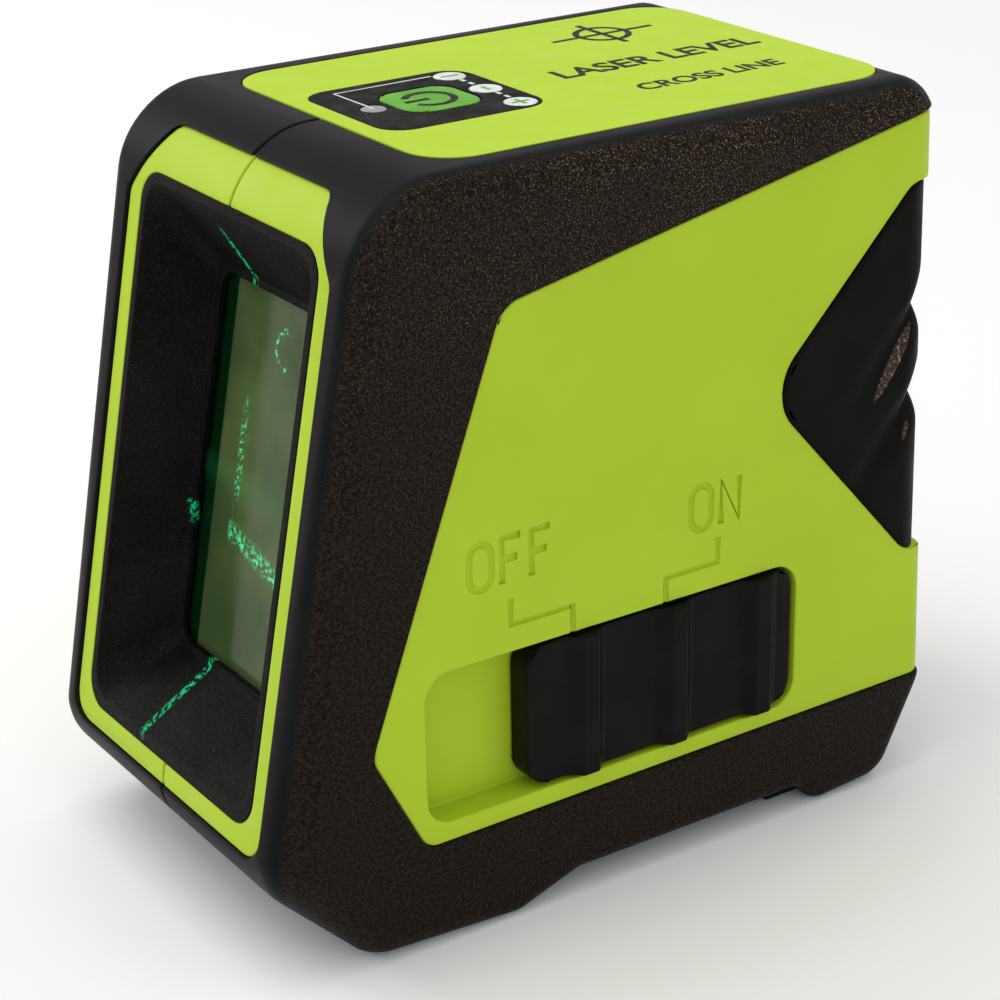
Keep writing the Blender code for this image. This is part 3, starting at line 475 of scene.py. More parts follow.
def block(name, low, high, soften=0.0):
    bm = bmesh.new()
    size = [b - a for a, b in zip(low, high)]
    middle = [(a + b) / 2 for a, b in zip(low, high)]
    bmesh.ops.create_cube(bm, size=1, matrix=Matrix.Translation(middle) @ Matrix.Diagonal((*size, 1)))
    if soften:
        bmesh.ops.bevel(
            bm, geom=bm.edges[:], offset=soften, affect="EDGES", segments=3, profile=0.5, material=-1
        )
    return pieceFrom(bm, name)


def rod(name, radius, start, length, axis="Z", sides=48, tip=None):
    bm = bmesh.new()
    bmesh.ops.create_cone(
        bm, cap_ends=True, segments=sides, radius1=radius,
        radius2=radius if tip is None else tip, depth=length,
    )
    bmesh.ops.translate(bm, verts=bm.verts, vec=(0, 0, length / 2))
    bmesh.ops.transform(bm, matrix=Matrix.Translation(start) @ axisTurn[axis], verts=bm.verts)
    return pieceFrom(bm, name)


def halfBody(name, profile, inset=0.0, arcs=8, start=0.0):
    # right half of the case form: its side view carried from the seam and rounded over into the side
    bm = bmesh.new()
    base = bm.verts.layers.float_vector.new("base")
    outward = bm.verts.layers.float_vector.new("outward")
    edge = bm.verts.layers.float.new("edge")
    face = outlineFace(bm, profile, arcStep=6.0)
    for vert, direction in outwards(face).items():
        near = min(profile, key=lambda corner: (vert.co - Vector((corner[0], corner[1], 0))).length)
        vert[edge] = max(near[3] - inset, 0.3)
        vert[base] = vert.co
        vert[outward] = direction
    for vert in bm.verts:
        vert.co = vert[base] - vert[outward] * inset
        vert.co.z = case["seam"] + start
    rim = face.edges[:]
    for k in range(arcs + 1):
        angle = math.radians(90 - 90 * k / arcs)
        made = bmesh.ops.extrude_edge_only(bm, edges=rim)
        fresh = set(vertsOf(made))
        for vert in fresh:
            vert.co = vert[base] - vert[outward] * (inset + vert[edge] * (1 - math.sin(angle)))
            vert.co.z = case["half"] - inset - vert[edge] * (1 - math.cos(angle))
        rim = [e for e in made["geom"] if isinstance(e, bmesh.types.BMEdge) and set(e.verts) <= fresh]
    bmesh.ops.edgeloop_fill(bm, edges=rim)
    bmesh.ops.transform(bm, matrix=axisTurn["X"], verts=bm.verts)
    return pieceFrom(bm, name)


def toWindow(bm):
    # carries (X, depth, up) of the window into the leaning front
    origin = Matrix.Translation((0, frontY(window["foot"]), window["foot"]))
    bmesh.ops.transform(bm, matrix=origin @ Matrix.Rotation(math.radians(-case["lean"]), 4, "X"), verts=bm.verts)


def windowLoft(name, stations, grow=0.0, arcStep=9.0):
    # closed form through rounded rectangles behind the front: depth, half width, low, high, radius
    bm = bmesh.new()
    loops = []
    for depth, x, low, high, radius in stations:
        other = bmesh.new()
        outlineFace(other, slab(-x, x, low, high, radius), grow, arcStep)
        bmesh.ops.translate(other, verts=other.verts, vec=(0, 0, depth))
        bmesh.ops.transform(other, matrix=axisTurn["Y"], verts=other.verts)
        mesh = bpy.data.meshes.new("station")
        other.to_mesh(mesh)
        other.free()
        known = set(bm.edges)
        bm.from_mesh(mesh)
        bpy.data.meshes.remove(mesh)
        loops.append([e for e in bm.edges if e not in known])
    inner = bm.faces[1:-1] if len(stations) > 2 else []
    bmesh.ops.delete(bm, geom=inner, context="FACES_ONLY")
    for near, far in zip(loops, loops[1:]):
        bmesh.ops.bridge_loops(bm, edges=near + far)
    toWindow(bm)
    return pieceFrom(bm, name)


def settle(piece):
    # applies the piece's modifiers
    bpy.context.view_layer.update()
    graph = bpy.context.evaluated_depsgraph_get()
    mesh = bpy.data.meshes.new_from_object(piece.evaluated_get(graph))
    piece.modifiers.clear()
    old, piece.data = piece.data, mesh
    bpy.data.meshes.remove(old)
    return piece


def combine(piece, tool, operation, keep=False, crossing=False):
    step = piece.modifiers.new("step", "BOOLEAN")
    step.operation = operation
    step.solver = "EXACT"
    step.use_self = crossing
    step.object = tool
    settle(piece)
    if not keep:
        bpy.data.objects.remove(tool)
    return piece


def cut(piece, *tools):
    for tool in tools:
        combine(piece, tool, "DIFFERENCE")
    return piece


def join(piece, *tools):
    for tool in tools:
        combine(piece, tool, "UNION")
    return piece


def overlap(piece, tool):
    return combine(piece, tool, "INTERSECT")


def copyOf(piece, name):
    made = piece.copy()
    made.data = piece.data.copy()
    made.name = name
    scene.collection.objects.link(made)
    return made


def mirrored(piece, name):
    # the same piece on the left
    made = copyOf(piece, name)
    bm = bmesh.new()
    bm.from_mesh(made.data)
    bmesh.ops.scale(bm, vec=(-1, 1, 1), verts=bm.verts)
    bmesh.ops.reverse_faces(bm, faces=bm.faces)
    bm.to_mesh(made.data)
    bm.free()
    return made


def softened(piece, width, segments=3, angle=38.0):
    # rounds every edge sharper than the angle, then settles it
    bm = bmesh.new()
    bm.from_mesh(piece.data)
    bmesh.ops.remove_doubles(bm, verts=bm.verts, dist=0.05)
    bmesh.ops.dissolve_degenerate(bm, dist=0.002, edges=bm.edges)
    bmesh.ops.triangulate(bm, faces=bm.faces)
    bm.to_mesh(piece.data)
    bm.free()
    bevel = piece.modifiers.new("soft edges", "BEVEL")
    bevel.width = width
    bevel.segments = segments
    bevel.limit_method = "ANGLE"
    bevel.angle_limit = math.radians(angle)
    bevel.use_clamp_overlap = False
    bevel.miter_outer = "MITER_ARC"
    return settle(piece)


def ruled(piece, levels):
    # splits faces along flat cuts across an axis: 0, 1 or 2, and how far along it
    bm = bmesh.new()
    bm.from_mesh(piece.data)
    for axis, level in levels:
        spot, normal = [0.0, 0.0, 0.0], [0.0, 0.0, 0.0]
        spot[axis], normal[axis] = level, 1.0
        parts = bm.verts[:] + bm.edges[:] + bm.faces[:]
        bmesh.ops.bisect_plane(bm, geom=parts, dist=0.001, plane_co=spot, plane_no=normal)
    bm.to_mesh(piece.data)
    bm.free()
    return piece


def stroke(name, points, radius, axis="X", at=0.0, closed=False):
    # round bar along a flat route, drawn in the plane across the axis
    data = bpy.data.curves.new(name, "CURVE")
    data.dimensions = "3D"
    data.bevel_depth = radius
    data.bevel_resolution = 4
    data.use_fill_caps = True
    spline = data.splines.new("POLY")
    spline.points.add(len(points) - 1)
    for spot, (u, v) in zip(spline.points, points):
        spot.co = (u, v, at, 1)
    spline.use_cyclic_u = closed
    drawn = bpy.data.objects.new(name, data)
    scene.collection.objects.link(drawn)
    bpy.context.view_layer.update()
    mesh = bpy.data.meshes.new_from_object(drawn.evaluated_get(bpy.context.evaluated_depsgraph_get()))
    bpy.data.objects.remove(drawn)
    bm = bmesh.new()
    bm.from_mesh(mesh)
    bpy.data.meshes.remove(mesh)
    bmesh.ops.transform(bm, matrix=axisTurn[axis], verts=bm.verts)
    return pieceFrom(bm, name)


def finished(piece, body, material, nodes=(), smooth=30.0, weighted=True):
    # brings the piece to metres, shades it and sets it on its body
    piece.data.transform(Matrix.Scale(mm, 4))
    piece.data.materials.clear()
    piece.data.materials.append(material)
    piece.data.shade_smooth()
    piece.data.set_sharp_from_angle(angle=math.radians(smooth))
    if weighted:
        shade = piece.modifiers.new("even shading", "WEIGHTED_NORMAL")
        shade.keep_sharp = True
        shade.weight = 80
    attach(piece, body)
    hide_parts(*nodes)
    return piece


# the case's leading sizes

case = dict(
    half=30.0, seam=0.15, height=96.0, lean=11.1, nose=(-50.5, 13.6),
    skin=2.0, proud=0.4, wall=2.0, gap=0.3, fit=0.06,
)
window = dict(
    foot=19.7, mouth=(20.4, -1.0, 68.4, 4.0), throat=(15.6, 8.6, 59.2, 2.5),
    throatDepth=9.0, bezelDepth=13.0, glassDepth=10.3, glassThick=1.5,
    front=(21.4, -1.0, 69.4, 4.0), back=(17.9, 6.2, 61.6, 3.0),
)
panelOutline = (
    (-29.4, 13.8, 2.5), (60.0, 14.5, 1.0), (60.0, 91.9, 1.0),
    (45.7, 91.9, 2.5), (-17.4, 79.8, 4.0), (-36.6, 28.0, 3.0),
)
notchOutline = (
    (21.6, 60.0, 6.5), (45.5, 32.9, 4.0), (60.0, 32.9, 1.0), (60.0, 83.2, 1.0), (44.2, 83.2, 3.0),
)
faceOutline = (
    (-24.3, 15.6, 4.0), (24.3, 15.6, 4.0), (24.3, 84.5, 2.0),
    (18.0, 93.0, 2.0), (-18.0, 93.0, 2.0), (-24.3, 84.5, 2.0),
)
labelOutline = slab(-24.4, 24.4, -22.4, 45.4, 6.5)
keypadOutline = slab(-10.8, 10.8, -19.7, 3.3, 3.8)
buttonOutline = slab(-5.2, 5.2, -12.8, -2.2, 3.0)
slotOutline = slab(-29.1, 27.0, 16.4, 36.4, 3.5)
caseScrews = ((-37.5, 13.0), (22.0, 11.9), (40.5, 86.0), (-20.5, 86.4))
batteryDoor = dict(half=23.0, front=26.2, rear=42.7, pivot=(27.6, 2.6), low=1.2, thick=2.8)
tripod = dict(y=4.0, bore=6.35, radius=5.5, low=3.2, top=11.0)


def frontY(z):
    return case["nose"][0] + (z - case["nose"][1]) * math.tan(math.radians(case["lean"]))


def outerProfile():
    # side view of the rubber: Y, Z, corner radius, edge radius towards the side
    high = case["height"]
    return (
        (-36.6, 0.0, 6.0, 4.0), (-16.0, 0.0, 3.0, 2.0), (-7.0, 3.0, 3.0, 2.0),
        (28.6, 3.0, 3.0, 2.0), (31.4, 0.0, 3.0, 2.0), (43.3, 0.0, 5.0, 3.0),
        (50.2, 13.5, 6.0, 3.0), (48.9, high, 5.5, 4.5), (frontY(high), high, 12.0, 3.5),
        (*case["nose"], 7.0, 5.0),
    )


def coreProfile():
    high = case["height"]
    return (
        (-39.6, 3.0, 6.0, 5.0), (44.6, 3.0, 7.0, 5.0), (48.4, 10.4, 6.0, 5.0),
        (48.4, high, 6.0, 5.0), (frontY(high), high, 12.0, 5.0), (*case["nose"], 7.0, 5.0),
    )


def bezelStation(depth):
    # the funnel's outside tapers evenly from the front to its back edge
    share = (depth - case["proud"]) / (window["bezelDepth"] - case["proud"])
    return depth, *(a + (b - a) * share for a, b in zip(window["front"], window["back"]))


def bezelForm(front, grow=0.0):
    return windowLoft("bezelForm", (bezelStation(front), bezelStation(window["bezelDepth"] + grow)), grow)


def doorSpace(grow):
    door = batteryDoor
    low = (-door["half"] - grow, door["front"] - grow, -2.0)
    return block("doorSpace", low, (door["half"] + grow, door["rear"] + grow, 12.0))


def hingeEar(grow=0.0):
    return block("hingeEar", (23.7 - grow, 24.9 - grow, 1.0 - grow), (27.0 + grow, 30.3 + grow, 4.9 + grow))


def cutWells(piece, radius):
    # screw wells in the left side; the faces round them are split so that no long thin triangle meets a rim
    for y, z in caseScrews:
        cut(piece, rod("screwWell", radius, (-34.0, y, z), 10.4, "X", sides=32))
    levels = []
    for y, z in caseScrews:
        for away in (-4.6, 4.6):
            levels += [(1, y + away), (2, z + away)]
    return ruled(piece, levels)


# the two plastic halves

lettering = dict(
    stroke=0.5, sunk=0.06,  # bar radius, and how far its middle stands off the surface
    tall=5.8, letterHalf=1.55,
    off=dict(y=-17.1, z=48.5, spots=(-3.95, 0.35, 4.55)),
    on=dict(y=13.7, z=47.8, spots=(-2.25, 2.25)),
    leaders=(
        ((-16.9, 43.4), (-16.9, 40.0), (-7.9, 40.0), (-7.9, 35.9)),
        ((14.1, 43.2), (14.1, 39.8), (6.1, 39.8), (6.1, 35.9)),
    ),
)


def letterRoutes(letter, y, z):
    wide, tall = lettering["letterHalf"], lettering["tall"] / 2
    if letter == "O":
        points = []
        for side, end in ((1, tall - wide), (-1, wide - tall)):
            for k in range(9):
                angle = math.pi * k / 8
                points.append((y + side * wide * math.cos(angle), z + end + side * wide * math.sin(angle)))
        return [(points, True)]
    if letter == "F":
        hook = ((y - wide * 0.8, z - tall), (y - wide * 0.8, z + tall), (y + wide * 0.9, z + tall))
        return [(hook, False), (((y - wide * 0.8, z + 0.2), (y + wide * 0.6, z + 0.2)), False)]
    up = ((y - wide * 0.9, z - tall), (y - wide * 0.9, z + tall))
    return [((*up, (y + wide * 0.9, z - tall), (y + wide * 0.9, z + tall)), False)]


def engrave(shell):
    # OFF and ON with their leader lines, sunk into the right side
    routes = [(leader, False) for leader in lettering["leaders"]]
    for word in ("off", "on"):
        for letter, spot in zip(word.upper(), lettering[word]["spots"]):
            routes += letterRoutes(letter, lettering[word]["y"] + spot, lettering[word]["z"])
    surface = case["half"] - case["proud"]
    for route, closed in routes:
        cut(shell, stroke("groove", route, lettering["stroke"], at=surface + lettering["sunk"], closed=closed))
    return shell


def halfShell():
    # right half without the switch: hollow core with the panel, window frame and label pad raised on it
    near = case["seam"]
    raised = prism("raised", panelOutline, "X", 20, 40)
    cut(raised, prism("notch", notchOutline, "X", 10, 41))
    join(raised, prism("frontFrame", faceOutline, "Y", -60, -20))
    overlap(raised, halfBody("limit", outerProfile(), case["proud"]))
    core = halfBody("core", coreProfile(), case["skin"])
    join(core, raised)
    overlap(core, block("rightSide", (near, -80, -20), (60, 80, 120)))
    pad = prism("pad", labelOutline, "Z", 90.0, case["height"] - 0.5 - case["gap"])
    join(core, overlap(pad, block("rightSide", (near, -80, -20), (60, 80, 120))))
    cut(core, halfBody("hollow", coreProfile(), case["skin"] + case["wall"], start=-1.2))
    cut(core, bezelForm(-4.0, case["fit"]), doorSpace(case["gap"]))
    cut(core, rod("tripodHole", tripod["radius"] + case["gap"], (0, tripod["y"], -2), 12.0))
    return core


def keypadHoles():
    holes = [
        rod("lightHole", radius + 0.2, (x, y, 88.0), 12.0) for x, y, radius in keypadLights.values()
    ]
    holes.append(rod("stemHole", 2.4, (0, -7.5, 88.0), 12.0))
    holes.append(prism("buttonPocket", buttonOutline, "Z", 94.1, 97.0, 0.2))
    return holes


keypadLights = dict(
    led_lock=(0.0, -15.4, 1.6), led_vertical=(-7.8, 0.4, 2.1),
    led_cross=(0.0, 0.6, 2.1), led_horizontal=(7.8, 0.4, 2.1),
)
slotSizes = dict(floor=25.3, stemLow=(20, -13.9, 21.5), stemHigh=(28, 12.5, 30.5))


def buildShells(lime):
    right = halfShell()
    left = mirrored(right, "leftShell")
    join(right, block("slotPocket", (23.3, -31.1, 14.4), (27.0, 29.0, 38.4)))
    cut(right, prism("recess", slotOutline, "X", slotSizes["floor"], 35.0), *keypadHoles())
    cut(left, *keypadHoles())
    cut(right, block("stemSlot", slotSizes["stemLow"], slotSizes["stemHigh"]))
    cutWells(left, 3.0)
    softened(right, 0.28)
    softened(left, 0.28)
    engrave(right)
    finished(right, "housing", lime, ["right_shell"])
    finished(left, "housing", lime, ["left_shell"])
    right.name = "rightShell"


def buildBumpers(rubber):
    fit = case["fit"]
    skin = halfBody("rightBumper", outerProfile())
    cut(skin, halfBody("core", coreProfile(), case["skin"] - fit))
    cut(skin, prism("panelHole", panelOutline, "X", 10, 40, fit))
    cut(skin, prism("frameHole", faceOutline, "Y", -60, -20, fit))
    cut(skin, prism("labelHole", labelOutline, "Z", 85, 100, fit))
    cut(skin, block("seamSide", (-60, -80, -20), (case["seam"], 80, 120)))
    cut(skin, doorSpace(0.4), hingeEar(fit))
    join(skin, hingeEar())
    cut(skin, rod("pinHole", 1.0, (20, *batteryDoor["pivot"]), 6.6, "X"))
    cut(skin, rod("tripodHole", tripod["radius"] + 0.2, (0, tripod["y"], -2), 12.0))
    left = mirrored(skin, "leftBumper")
    cutWells(left, 3.2)
    for piece, node in ((skin, "right_bumper"), (left, "left_bumper")):
        softened(piece, 0.38)
        finished(piece, "housing", rubber, [node])


grip = dict(
    valleys=(55.3, 67.3), deep=1.6, wide=4.6, slope=1.0, fade=15.0, rear=48.3, cell=0.8,
    inward=0.9, edge=5.0,  # the grip lies a little inside the back and turns the corner more gently
)


def gripProfile():
    profile = list(outerProfile())
    for k in (6, 7):
        y, z, corner = profile[k][:3]
        profile[k] = (y - grip["inward"], z, corner, grip["edge"])
    return profile


def valleyDepth(y, z):
    # how far the finger valleys press the surface in; they start level behind and run down the side
    back = max(grip["rear"] - 1.5 - y, 0.0)
    fade = max(1 - back / grip["fade"], 0.0) ** 1.2
    height = z + grip["slope"] * back
    press = sum(max(1 - abs(height - level) / grip["wide"], 0.0) ** 1.7 for level in grip["valleys"])
    return grip["deep"] * fade * press


def buildGrips(rubber):
    pad = halfBody("rightGrip", gripProfile(), arcs=12)
    overlap(pad, prism("notch", notchOutline, "X", -1, 40, -case["fit"]))
    cut(pad, halfBody("core", coreProfile(), case["skin"] - case["fit"]))
    softened(pad, 0.45)
    levels = []
    for axis, low, high in ((2, 32.0, 84.0), (1, 23.0, 50.0), (0, 1.0, 29.0)):
        levels += [(axis, low + k * grip["cell"]) for k in range(round((high - low) / grip["cell"]))]
    ruled(pad, levels)
    bm = bmesh.new()
    bm.from_mesh(pad.data)
    (lowY, lowZ), (highY, highZ) = (corner[:2] for corner in gripProfile()[6:8])
    for vert in bm.verts:
        x, y, z = vert.co
        rear = lowY + (highY - lowY) * (z - lowZ) / (highZ - lowZ)
        edge = grip["edge"]
        out = Vector((max(x - case["half"] + edge, 0.0), max(y - rear + edge, 0.0), 0))
        outer = (out.length - edge + case["skin"]) / case["skin"]
        if outer > 0:
            vert.co -= out.normalized() * valleyDepth(y, z) * min(outer * 1.5, 1.0)
    bm.to_mesh(pad.data)
    bm.free()
    left = mirrored(pad, "leftGrip")
    for piece, node in ((pad, "right_grip"), (left, "left_grip")):
        finished(piece, "housing", rubber, [node], smooth=50.0)


# window

def buildWindow(funnel, pane):
    x, low, high, radius = window["throat"]
    mouthX, mouthLow, mouthHigh, mouthRadius = window["mouth"]
    bezel = bezelForm(case["proud"])
    mouth = (-1.0, mouthX + 0.4, -0.4, mouthHigh + 1.4, mouthRadius)
    cut(bezel, windowLoft("funnel", (mouth, (window["throatDepth"], x, low, high, radius))))
    step = (x - 1, low + 1, high - 1, radius)
    depth = window["throatDepth"]
    cut(bezel, windowLoft("step", ((depth - 2, *step), (window["bezelDepth"] + 2, *step))))
    seat = (x + 0.8, low - 0.8, high + 0.8, radius)
    start = window["glassDepth"] - case["gap"]
    cut(bezel, windowLoft("seat", ((start, *seat), (window["bezelDepth"] + 2, *seat))))
    softened(bezel, 0.2)
    bezel.name = "windowBezel"
    finished(bezel, "housing", funnel, ["window_bezel"])
    edge = (x + 0.5, low - 0.5, high + 0.5, radius)
    back = window["glassDepth"] + window["glassThick"]
    glass = windowLoft("windowGlass", ((window["glassDepth"], *edge), (back, *edge)))
    softened(glass, 0.25, 2, 50.0)
    finished(glass, "housing", pane, ["window_glass"])


# label, keypad and print

printed = dict(thick=0.03, top=96.0)


def flatPrint(name, strokes, width, material, at):
    # printed lines: flat bars with square ends, sunk half their thickness into the film
    whole = None
    for route, closed in strokes:
        bar = stroke(name, route, width / 2, "Z", 0.0, closed)
        squash = Matrix.Translation((0, 0, at)) @ Matrix.Diagonal((1, 1, printed["thick"] / width, 1))
        bar.data.transform(squash)
        whole = bar if whole is None else joinMeshes(whole, bar)
    finished(whole, "housing", material, weighted=False)
    return whole


def joinMeshes(first, second):
    # lays the second piece's mesh into the first piece's
    bm = bmesh.new()
    bm.from_mesh(first.data)
    bm.from_mesh(second.data)
    bm.to_mesh(first.data)
    bm.free()
    bpy.data.objects.remove(second)
    return first


def ring(x, y, radius, points=40, start=0.0, sweep=360.0):
    result = []
    for k in range(points + 1):
        angle = math.radians(start + sweep * k / points)
        result.append((x + radius * math.cos(angle), y + radius * math.sin(angle)))
    return result


def words(name, text, size, x, y, material, body="housing"):
    # raised print that reads along +Y with its top towards -X
    data = bpy.data.curves.new(name, "FONT")
    data.body = text
    data.size = size
    data.extrude = printed["thick"]
    data.offset = size * 0.022
    data.align_x = "CENTER"
    data.align_y = "CENTER"
    data.resolution_u = 6
    drawn = bpy.data.objects.new(name, data)
    scene.collection.objects.link(drawn)
    bpy.context.view_layer.update()
    mesh = bpy.data.meshes.new_from_object(drawn.evaluated_get(bpy.context.evaluated_depsgraph_get()))
    bpy.data.objects.remove(drawn)
    bm = bmesh.new()
    bm.from_mesh(mesh)
    bpy.data.meshes.remove(mesh)
    turn = Matrix.Translation((x, y, printed["top"])) @ Matrix.Rotation(math.radians(90), 4, "Z")
    bmesh.ops.transform(bm, matrix=turn, verts=bm.verts)
    piece = pieceFrom(bm, name)
    return finished(piece, body, material, weighted=False)


def buildLabel(film, keypad, green, inks):
    low, high = printed["top"] - 0.5, printed["top"]
    label = prism("topLabel", labelOutline, "Z", low, high, -case["fit"])
    cut(label, prism("keypadHole", keypadOutline, "Z", low - 1, high + 1, 0.04))
    softened(label, 0.1, 2)
    finished(label, "housing", film, ["top_label"])
    sheet = prism("keypadOverlay", keypadOutline, "Z", low, high, -0.02)
    cut(sheet, prism("buttonHole", buttonOutline, "Z", low - 1, high + 1, 0.12))
    for x, y, radius in keypadLights.values():
        cut(sheet, rod("lightHole", radius + 0.06, (x, y, low - 1), 3.0))
    softened(sheet, 0.08, 2)
    finished(sheet, "housing", keypad, ["keypad_overlay"])
    cap = prism("powerButton", buttonOutline, "Z", low - 0.6, high - 0.02)
    softened(cap, 0.3, 3)
    join(cap, rod("stem", 2.0, (0, -7.5, 91.9), 3.5))
    finished(cap, "button", green, ["power_button"])
    for name, (x, y, radius) in keypadLights.items():
        light = rod(name.replace("led_", "light") + "Dome", radius, (x, y, 92.6), high - 0.02 - 92.6)
        softened(light, 0.12, 2)
        ink = inks["grey"] if name == "led_lock" else inks["white"]
        finished(light, "housing", ink, [name])
    buildPrint(inks)


def buildPrint(inks):
    top = printed["top"]
    lead = ((0.0, -15.4), (-8.9, -15.6), (-9.0, -1.6))
    dashes = [(((-5.4, 0.45), (-4.4, 0.5)), False), (((-3.5, 0.5), (-2.5, 0.5)), False)]
    dashes += [(((2.5, 0.5), (3.5, 0.5)), False), (((4.4, 0.5), (5.4, 0.45)), False)]
    flatPrint("keypadLeader", [(lead, False)], 0.34, inks["white"], top)
    flatPrint("keypadDashes", dashes, 0.55, inks["white"], top)
    icons = [
        (((-7.8, -0.9), (-7.8, 1.7)), False), (((-0.9, 0.6), (0.9, 0.6)), False),
        (((6.6, 0.4), (9.0, 0.4)), False), (((7.8, -0.8), (7.8, 1.6)), False),
    ]
    flatPrint("lightIcons", icons, 0.5, inks["green"], top)
    power = [(ring(0.0, -7.5, 3.0, 40, -60.0, 300.0), False), (((0.0, -11.0), (0.0, -7.6)), False)]
    symbol = flatPrint("powerSymbol", power, 0.95, inks["black"], top - 0.01)
    symbol.parent = None
    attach(symbol, "button")
    cross = [(ring(-14.3, 28.5, 3.5), False), (((-14.3, 20.5), (-14.3, 36.5)), False)]
    cross += [(((-20.0, 28.5), (-8.8, 28.5)), False)]
    flatPrint("crossLineMark", cross, 0.9, inks["black"], top)
    words("labelTitle", "LASER LEVEL", 5.6, 0.6, 26.2, inks["black"])
    words("labelSubtitle", "CROSS LINE", 4.1, 11.6, 26.2, inks["black"])


# slide switch

knob = dict(
    y0=-14.6, y1=26.5, z0=16.9, z1=35.9, back=25.6, face=29.3, crest=30.85,
    ribs=(-6.0, 7.5, 21.0), crestHalf=1.15, ramp=1.5, corner=3.2,
)


def buildKnob(plastic):
    # ribs stand on short ramps; the ends of the knob are rounded
    low, high = knob["y0"] - 2, knob["y1"] + 2  # the plan below trims the ends
    outline = [(low, knob["back"], 0), (high, knob["back"], 0), (high, knob["face"], 0)]
    for y in reversed(knob["ribs"]):
        reach = knob["crestHalf"] + knob["ramp"]
        outline.append((y + reach, knob["face"], 1.2))
        outline.append((y + knob["crestHalf"], knob["crest"], 0.45))
        outline.append((y - knob["crestHalf"], knob["crest"], 0.45))
        outline.append((y - reach, knob["face"], 1.2))
    outline.append((low, knob["face"], 0))
    bm = bmesh.new()
    face = outlineFace(bm, outline, arcStep=12.0)
    made = bmesh.ops.extrude_face_region(bm, geom=[face])
    bmesh.ops.translate(bm, verts=vertsOf(made), vec=(0, 0, knob["z1"] - knob["z0"] + 4))
    bmesh.ops.translate(bm, verts=bm.verts, vec=(0, 0, knob["z0"] - 2))
    upright = Matrix(((0, 1, 0, 0), (1, 0, 0, 0), (0, 0, 1, 0), (0, 0, 0, 1)))
    bmesh.ops.transform(bm, matrix=upright, verts=bm.verts)
    piece = pieceFrom(bm, "switchKnob")
    plan = slab(knob["y0"], knob["y1"], knob["z0"], knob["z1"], knob["corner"])
    overlap(piece, prism("knobPlan", plan, "X", 20, 40))
    softened(piece, 0.35, 3)
    cut(piece, block("socket", (24.0, -0.3, 21.7), (27.8, 12.3, 30.3)))
    mark = ((6.75, 31.2, 0.05), (8.25, 31.2, 0.05), (7.5, 33.2, 0.05))
    join(piece, prism("pointer", mark, "X", 30.0, 30.93))
    finished(piece, "switch", plastic, ["switch_knob"])


# underside

def buildDoor(plastic):
    door = batteryDoor
    radius = door["thick"] / 2
    y, z = door["pivot"]
    plate = block("batteryDoor", (-door["half"], y, door["low"]), (door["half"], door["rear"], door["low"] + door["thick"]))
    join(plate, rod("hingeRoll", radius, (-door["half"], y, z), 2 * door["half"], "X"))
    join(plate, block("inner", (-door["half"] + 1, 31, 3.5), (door["half"] - 1, 41.0, 5.0)))
    cut(plate, rod("pinBore", 1.0, (-30, y, z), 60, "X"))
    cut(plate, rod("thumbHollow", 3.0, (-5, door["rear"] - 1.5, door["low"] - 2.2), 10, "X"))
    softened(plate, 0.25, 2)
    for k in range(5):
        ridge = 31.0 + k * 1.6
        cut(plate, rod("gripGroove", 0.4, (-8, ridge, door["low"] - 0.15), 16, "X", sides=16))
    finished(plate, "door", plastic, ["battery_door"])


def buildTripodInsert(brass):
    # brass bush with a coarse inside thread
    insert = rod("tripodInsert", tripod["radius"], (0, tripod["y"], tripod["low"]), tripod["top"] - tripod["low"], sides=64)
    cut(insert, rod("bore", tripod["bore"] / 2, (0, tripod["y"], 0), 20.0, sides=64))
    softened(insert, 0.3, 2, 60.0)
    finished(insert, "housing", brass, ["tripod_insert"])
    pitch, turns, steps = 1.27, 5, 32
    bm = bmesh.new()
    bore = tripod["bore"] / 2
    low = tripod["low"] + 0.6
    tooth = [bm.verts.new((bore - deep, 0, low + up)) for up, deep in ((0.0, 0.0), (0.5, 0.55), (1.0, 0.0))]
    face = bm.faces.new([*tooth, bm.verts.new((bore + 0.3, 0, low + 0.5))])
    bmesh.ops.spin(
        bm, geom=[face, *face.edges, *face.verts], cent=(0, 0, 0), axis=(0, 0, 1),
        dvec=(0, 0, pitch / steps), angle=math.radians(360 * turns), steps=steps * turns,
    )
    bmesh.ops.translate(bm, verts=bm.verts, vec=(0, tripod["y"], 0))
    finished(pieceFrom(bm, "tripodThread"), "housing", brass)


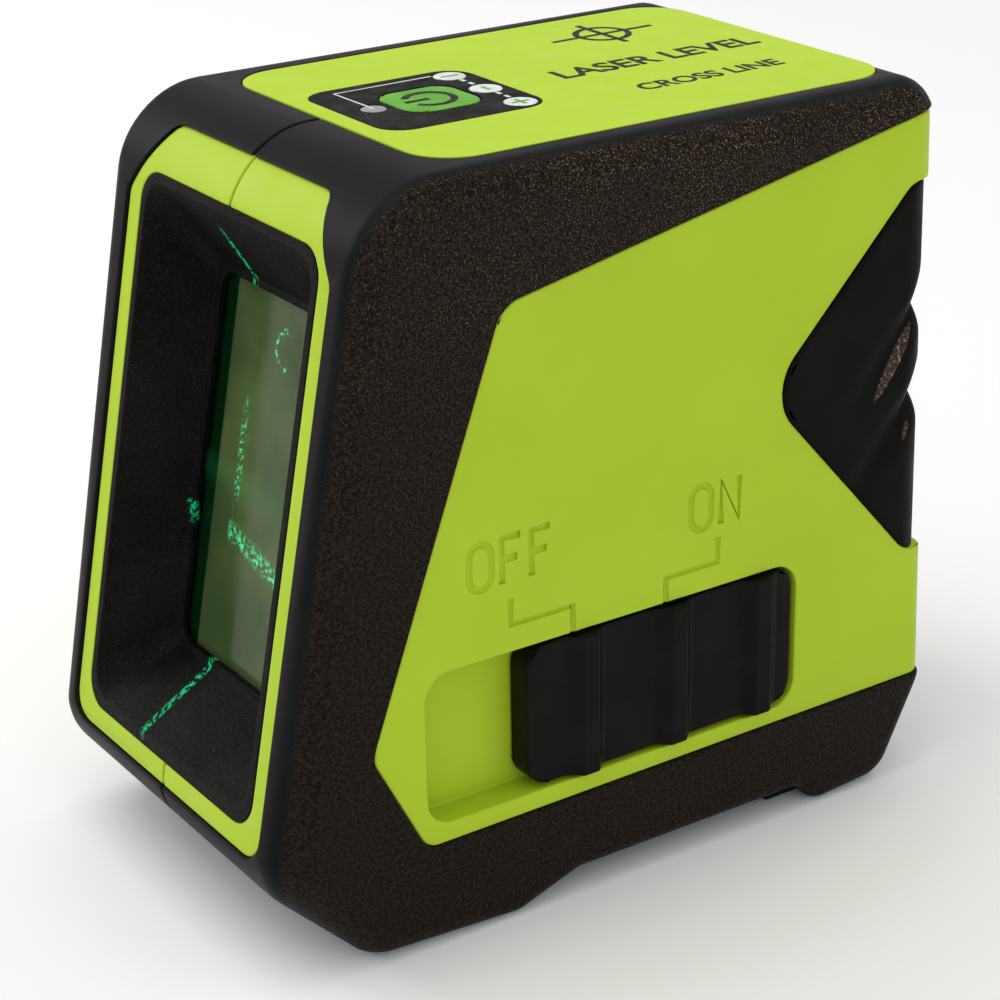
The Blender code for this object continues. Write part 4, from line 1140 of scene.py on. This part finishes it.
def buildScrews(steel):
    for i, (y, z) in enumerate(caseScrews):
        screw = rod("shank", 1.3, (-24.0, y, z), 32.0, "X", sides=24)
        head = rod(f"caseScrew{i + 1}", 2.7, (-25.6, y, z), 2.0, "X")
        softened(head, 0.4, 3)
        for turn in (0, 90):
            slot = block("recess", (-26.5, -1.8, -0.32), (-24.9, 1.8, 0.32))
            slot.data.transform(Matrix.Translation((0, y, z)) @ Matrix.Rotation(math.radians(turn + 20 * i), 4, "X"))
            cut(head, slot)
        join(head, screw)
        finished(head, "housing", steel, [f"case_screw_{i + 1}"])


# inner pieces keep the CAD shapes and take their own finishes

innerFinish = dict(
    innerPlastic=("switch_carriage", "lock_lever", "battery_tray", "tactile_switch"),
    softRubber=("lock_pad", "window_gasket"),
    brightSteel=(
        "carriage_screw_1", "carriage_screw_2", "detent_spring", "lever_pin", "door_pin", "damping_magnet",
        "pitch_pin_left", "pitch_pin_right", "pitch_bearing_left", "pitch_bearing_right", "roll_pin_front",
        "roll_pin_rear", "roll_bearing_front", "roll_bearing_rear", "contact_spring_1", "contact_spring_2",
        "contact_spring_3",
    ),
    turnedBrass=("vertical_laser", "horizontal_laser", "balance_weight"),
    sheetCopper=("damping_plate",),
    castZinc=("pendulum_frame", "pendulum_body", "gimbal_ring"),
    circuitBoard=("keypad_board", "main_board", "contact_board"),
    cellSleeve=("battery_cell_1", "battery_cell_2", "battery_cell_3"),
)


def finishInner(materials):
    for finish, names in innerFinish.items():
        for name in names:
            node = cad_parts[name]
            for place in node.material_slots:
                place.material = materials[finish]
    for name in ("vertical_lens", "horizontal_lens"):
        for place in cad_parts[name].material_slots:
            place.material = materials["lens"]


def main():
    setCamera()
    setStudio()
    print("studio ready")
    materials = {name: plainFinish(name) for name in finishes}
    materials["lens"] = lensGlass()
    rubber = bumperRubber()
    inks = dict(
        black=materials["labelInk"], white=materials["whiteInk"],
        grey=materials["greyInk"], green=materials["buttonGreen"],
    )
    print("materials ready")
    buildShells(materials["limePlastic"])
    print("shells ready")
    buildBumpers(rubber)
    print("bumpers ready")
    buildGrips(gripRubber())
    print("grips ready")
    buildWindow(funnelPlastic(), paneGlass())
    print("window ready")
    buildLabel(materials["limeLabel"], materials["keypadFilm"], materials["buttonGreen"], inks)
    print("label ready")
    buildKnob(materials["knobPlastic"])
    buildDoor(materials["doorPlastic"])
    buildTripodInsert(materials["turnedBrass"])
    buildScrews(materials["brightSteel"])
    finishInner(materials)
    print("switch, underside and inner pieces ready")


main()
